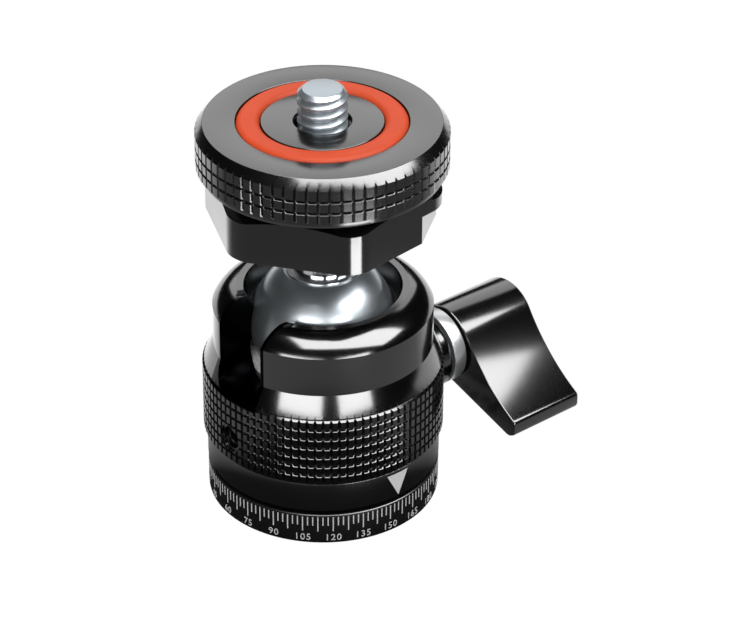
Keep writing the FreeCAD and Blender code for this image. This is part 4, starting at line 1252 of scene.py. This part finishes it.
finish("stud_steel", (0.36, 0.40, 0.43), tone=0.9, metallic=0.8, smooth=0.28, rough=0.42)
finish("collar_silver", (0.5, 0.51, 0.52), tone=0.95, metallic=0.85, smooth=0.28, rough=0.4,
       marks=1.0, pitch=0.00016)
finish("dark_steel", (0.01, 0.01, 0.011), tone=0.7, metallic=0.5, smooth=0.25, rough=0.4)
finish("bare_steel", (0.5, 0.5, 0.51), tone=0.85, metallic=1.0, smooth=0.25, rough=0.4, marks=0.5)
finish("cup_aluminium", (0.66, 0.66, 0.67), tone=0.9, metallic=1.0, smooth=0.28, rough=0.42,
       marks=0.8)
finish("seat_plastic", (0.75, 0.75, 0.72), tone=0.93, smooth=0.4, rough=0.55)
print("finishes:", sorted(materials))

# %% [markdown]
# The drop notch is milled after the turning, and shade is painted on its walls: they are made black,
# with almost no shine beside the gloss. A mask from the position inside the housing picks that slot:
# near the middle plane, on the notch's side and above the knurl. There the surface counts as a black
# metal, which mirrors little, and that is the painted shade in the recess.

# %% Paint shade into the notch
NOTCH_SIDE = 4.6
NOTCH_NEAR = -8.0
NOTCH_LOW = 18.6

tree = materials["housing_finish"].node_tree
shader = tree.nodes["Principled BSDF"]
split = tree.nodes.new("ShaderNodeSeparateXYZ")
link(tree, tree.nodes["Mapping"].outputs["Vector"], split.inputs["Vector"])
beside = maths(tree, "LESS_THAN", maths(tree, "ABSOLUTE", split.outputs["Y"], 0.0), NOTCH_SIDE * MM)
near = maths(tree, "LESS_THAN", split.outputs["X"], NOTCH_NEAR * MM)
above = maths(tree, "GREATER_THAN", split.outputs["Z"], NOTCH_LOW * MM)
notch_painted_shade = maths(tree, "MULTIPLY", maths(tree, "MULTIPLY", beside, near), above)
# Painted shade: inside the notch the housing becomes a black metal that mirrors almost nothing.
link(tree, notch_painted_shade, shader.inputs["Metallic"])
print("notch walls are dark within", NOTCH_SIDE, "mm of the middle plane")

# %% [markdown]
# The new pieces were noted by slot as they were made, so each gets its finish now. The solids that stay,
# such as the washers and screws inside, have their slots filled with the same materials.

# %% Give every piece its finish
for slot, wearers in finishes.items():
    for wearer in wearers:
        wearer.data.materials.append(materials[slot])
slot_of = {part["node"]: part["material_slot"] for part in frame["record"]["subparts"]}
for node, solid in frame["nodes"].items():
    for place_in_list in solid.material_slots:
        place_in_list.material = materials[slot_of[node]]
print("finishes:", len(materials), "new pieces:", sum(len(wearers) for wearers in finishes.values()))

# %% [markdown]
# ## Camera
# The photograph looks down at the head from the side of the knob and the notch, through a long lens
# from close by. The place and the aim below were solved from points of the photograph, such as the
# rims of the disc and the base, at their real sizes.

# %% Place the camera
CAMERA_PLACE = Vector((-0.2209, -0.2708, 0.2412))
CAMERA_AIM = Vector((0.5504, 0.6491, -0.5253))
CAMERA_ROLL = math.radians(0.388)
LENS = 153.65
SENSOR = 36
NEAREST = 0.01

camera_data = bpy.data.cameras.new("camera")
camera_data.lens = LENS
camera_data.sensor_width = SENSOR
camera_data.clip_start = NEAREST
camera = bpy.data.objects.new("camera", camera_data)
camera.location = CAMERA_PLACE
camera.rotation_mode = "QUATERNION"
camera.rotation_quaternion = CAMERA_AIM.to_track_quat("-Z", "Y") @ Quaternion((0, 0, 1), CAMERA_ROLL)
bpy.context.scene.collection.objects.link(camera)
bpy.context.scene.camera = camera
CAMERA_AZIMUTH = math.degrees(math.atan2(CAMERA_PLACE.y, CAMERA_PLACE.x))
print("camera azimuth", round(CAMERA_AZIMUTH, 1), "degrees")

# %% [markdown]
# ## The floor
# Gloss black shows only what it reflects, so the surroundings are built from what the photograph's
# reflections say. The camera sees a white floor. In the mirror of an upright wall the same glowing floor
# reads darker, and that is painted into its glow: a painted shadow on the spot in front of the head's
# foot, a mid grey further out, and a painted bright patch behind the head. A light path node tells the
# two kinds of ray apart. The pattern lies on the floor, in the floor's own coordinates, which a Mapping
# node turns to face the camera.

# %% Floor
FLOOR_SIZE = 6.0
FLOOR_DROP = 0.05
FLOOR_SEEN = 1.0
# The glow that the gloss mirrors is painted: a painted shadow in front of the foot, a mid grey further out
# and a painted bright patch behind.
SHADE_PLACE = 18.0
SHADE_INNER = 25.0
SHADE_OUTER = 34.0
SHADE_DEEP = 0.03
FLOOR_MIRRORED = 0.5
FAR_INNER = 66.0
FAR_OUTER = 80.0
FAR_LEVEL = 0.5
BEHIND_START = -8.0
BEHIND_END = -45.0
BEHIND_LEVEL = 1.3

bm = bmesh.new()
bmesh.ops.create_grid(bm, x_segments=1, y_segments=1, size=FLOOR_SIZE)
bmesh.ops.translate(bm, vec=(0, 0, -FLOOR_DROP * MM), verts=bm.verts)
floor = flat_object(bm, "floor")


def ramp(tree, value, start, end, low, high):
    """Spread a value evenly between two levels, and hold it level outside."""
    node = tree.nodes.new("ShaderNodeMapRange")
    node.inputs["From Min"].default_value = start * MM
    node.inputs["From Max"].default_value = end * MM
    node.inputs["To Min"].default_value = low
    node.inputs["To Max"].default_value = high
    link(tree, value, node.inputs["Value"])
    return node.outputs["Result"]


# %% Floor material
floor_material = bpy.data.materials.new("floor_white")
floor_material.use_nodes = True
tree = floor_material.node_tree
tree.nodes.clear()
coordinates = tree.nodes.new("ShaderNodeTexCoord")
to_camera = tree.nodes.new("ShaderNodeMapping")
to_camera.inputs["Rotation"].default_value = (0, 0, -math.radians(CAMERA_AZIMUTH))
link(tree, coordinates.outputs["Object"], to_camera.inputs["Vector"])
from_shade = tree.nodes.new("ShaderNodeVectorMath")
from_shade.operation = "DISTANCE"
link(tree, to_camera.outputs["Vector"], from_shade.inputs[0])
from_shade.inputs[1].default_value = (SHADE_PLACE * MM, 0, 0)
from_head = tree.nodes.new("ShaderNodeVectorMath")
from_head.operation = "LENGTH"
link(tree, to_camera.outputs["Vector"], from_head.inputs[0])
apart = tree.nodes.new("ShaderNodeSeparateXYZ")
link(tree, to_camera.outputs["Vector"], apart.inputs[0])
# Painted shadow on the mirrored floor, in front of the head's foot.
painted_shade_level = ramp(tree, from_shade.outputs["Value"], SHADE_INNER, SHADE_OUTER, SHADE_DEEP, FLOOR_MIRRORED)
far_level = ramp(tree, from_head.outputs["Value"], FAR_INNER, FAR_OUTER, 1.0, FAR_LEVEL)
# Painted bright patch on the mirrored floor, behind the head.
painted_bright_level = ramp(tree, apart.outputs["X"], BEHIND_START, BEHIND_END, 0.0, BEHIND_LEVEL)
mirrored = maths(tree, "MULTIPLY_ADD", painted_shade_level, far_level, painted_bright_level)
rays = tree.nodes.new("ShaderNodeLightPath")
seen = tree.nodes.new("ShaderNodeMix")
seen.data_type = "FLOAT"
link(tree, rays.outputs["Is Camera Ray"], seen.inputs["Factor"])
link(tree, mirrored, seen.inputs["A"])
seen.inputs["B"].default_value = FLOOR_SEEN
glow = tree.nodes.new("ShaderNodeEmission")
link(tree, seen.outputs["Result"], glow.inputs["Strength"])
surface = tree.nodes.new("ShaderNodeOutputMaterial")
link(tree, glow.outputs[0], surface.inputs["Surface"])
floor.data.materials.append(floor_material)
print("floor", FLOOR_SIZE * 2, "m wide, seen at", FLOOR_SEEN, "and mirrored at", FLOOR_MIRRORED)

# %% [markdown]
# The room is white to the camera and to matt surfaces, which it lights softly from all sides. To the
# gloss it is almost black, so that the only bright patches there are those of the lights.

# %% Room
ROOM_SEEN = 1.0
ROOM_MIRRORED = 0.008
ROOM_MATT = 1.0
world = bpy.data.worlds.new("room")
world.use_nodes = True
bpy.context.scene.world = world
tree = world.node_tree
rays = tree.nodes.new("ShaderNodeLightPath")
matt = maths(tree, "MULTIPLY_ADD", rays.outputs["Is Diffuse Ray"], ROOM_MATT - ROOM_MIRRORED, ROOM_MIRRORED)
strength = maths(tree, "MULTIPLY_ADD", rays.outputs["Is Camera Ray"], ROOM_SEEN - ROOM_MIRRORED, matt)
link(tree, strength, tree.nodes["Background"].inputs["Strength"])
tree.nodes["Background"].inputs["Color"].default_value = (1, 1, 1, 1)

# %% [markdown]
# ## Soft boxes
# Each bright patch on the gloss black is the mirror image of a light, so its place follows from the
# patch: the light lies where the line of sight goes on after the bounce. The two blocks on the
# shoulder ask for two boxes either side of the camera, and the grey face of the disc for a dim panel
# behind the head. All of them are area lights whose window of directions is given in degrees.

# %% Lights
LIGHT_TARGET = Vector((0, 0, 0.03))
BOX_RADIANCE = 12.0
BOX_DISTANCE = 0.9
PANEL_RADIANCE = 1.9
PANEL_DISTANCE = 1.2


def hang(name, place, facing, width, length, radiance):
    """Hang a rectangular light that only gloss shows; its power follows from its brightness."""
    data = bpy.data.lights.new(name, "AREA")
    data.shape = "RECTANGLE"
    data.size = width
    data.size_y = length
    data.energy = radiance * math.pi * width * length
    made = bpy.data.objects.new(name, data)
    made.location = place
    made.rotation_mode = "QUATERNION"
    made.rotation_quaternion = facing
    made.visible_camera = False
    made.visible_diffuse = False
    bpy.context.scene.collection.objects.link(made)
    print(name, "at", [round(part, 3) for part in made.location])


def way_to(across, rise):
    """The direction at an angle to the right of the camera and at a height angle above the floor."""
    azimuth = math.radians(CAMERA_AZIMUTH + across)
    rise = math.radians(rise)
    flat = math.cos(rise)
    return Vector((flat * math.cos(azimuth), flat * math.sin(azimuth), math.sin(rise)))


def soft_box(name, left, right, low, high, distance, radiance):
    """A panel that faces the head and fills a window of directions, in degrees."""
    rise = (low + high) / 2
    way = way_to((left + right) / 2, rise)
    width = 2 * distance * math.tan(math.radians((right - left) / 2)) * math.cos(math.radians(rise))
    length = 2 * distance * math.tan(math.radians((high - low) / 2))
    hang(name, LIGHT_TARGET + way * distance, (-way).to_track_quat("-Z", "Y"), width, length, radiance)


soft_box("box_left", -42, -1, 8, 27, BOX_DISTANCE, BOX_RADIANCE)
soft_box("box_right", 14, 46, 8, 27, BOX_DISTANCE, BOX_RADIANCE)
soft_box("panel_behind", 150, 210, 18, 48, PANEL_DISTANCE, PANEL_RADIANCE)

# %% [markdown]
# The streaks on the dome and on the knob and the white rim of the disc all look up, so one big box hangs
# overhead and reaches far to the right. Its edges are given as shares of its height above the head. The
# platform's rounded corner looks down instead, so a small card stands low in front of it, near the floor.

# %% Overhead box and low card
CEILING_RISE = 0.6
CEILING_TOWARD = (-0.2, 0.74)
CEILING_RIGHT = (-0.36, 1.6)
CEILING_RADIANCE = 11.0
CARD_ACROSS = 30.0
CARD_DISTANCE = 72.0
CARD_HEIGHT = 6.5
CARD_WIDTH = 34
CARD_LENGTH = 13

toward = [CEILING_RISE * edge for edge in CEILING_TOWARD]
rightward = [CEILING_RISE * edge for edge in CEILING_RIGHT]
ceiling_place = (way_to(0, 0) * sum(toward) / 2 + way_to(90, 0) * sum(rightward) / 2
                 + Vector((0, 0, CEILING_RISE)))
ceiling_facing = Quaternion((0, 0, 1), math.radians(CAMERA_AZIMUTH))
hang("box_ceiling", LIGHT_TARGET + ceiling_place, ceiling_facing, toward[1] - toward[0],
     rightward[1] - rightward[0], CEILING_RADIANCE)
card_way = way_to(CARD_ACROSS, 0)
card_place = card_way * CARD_DISTANCE * MM + Vector((0, 0, CARD_HEIGHT * MM))
hang("low_card", card_place, (-card_way).to_track_quat("-Z", "Y"), CARD_WIDTH * MM, CARD_LENGTH * MM,
     BOX_RADIANCE)
bpy.context.scene.view_settings.view_transform = "Standard"
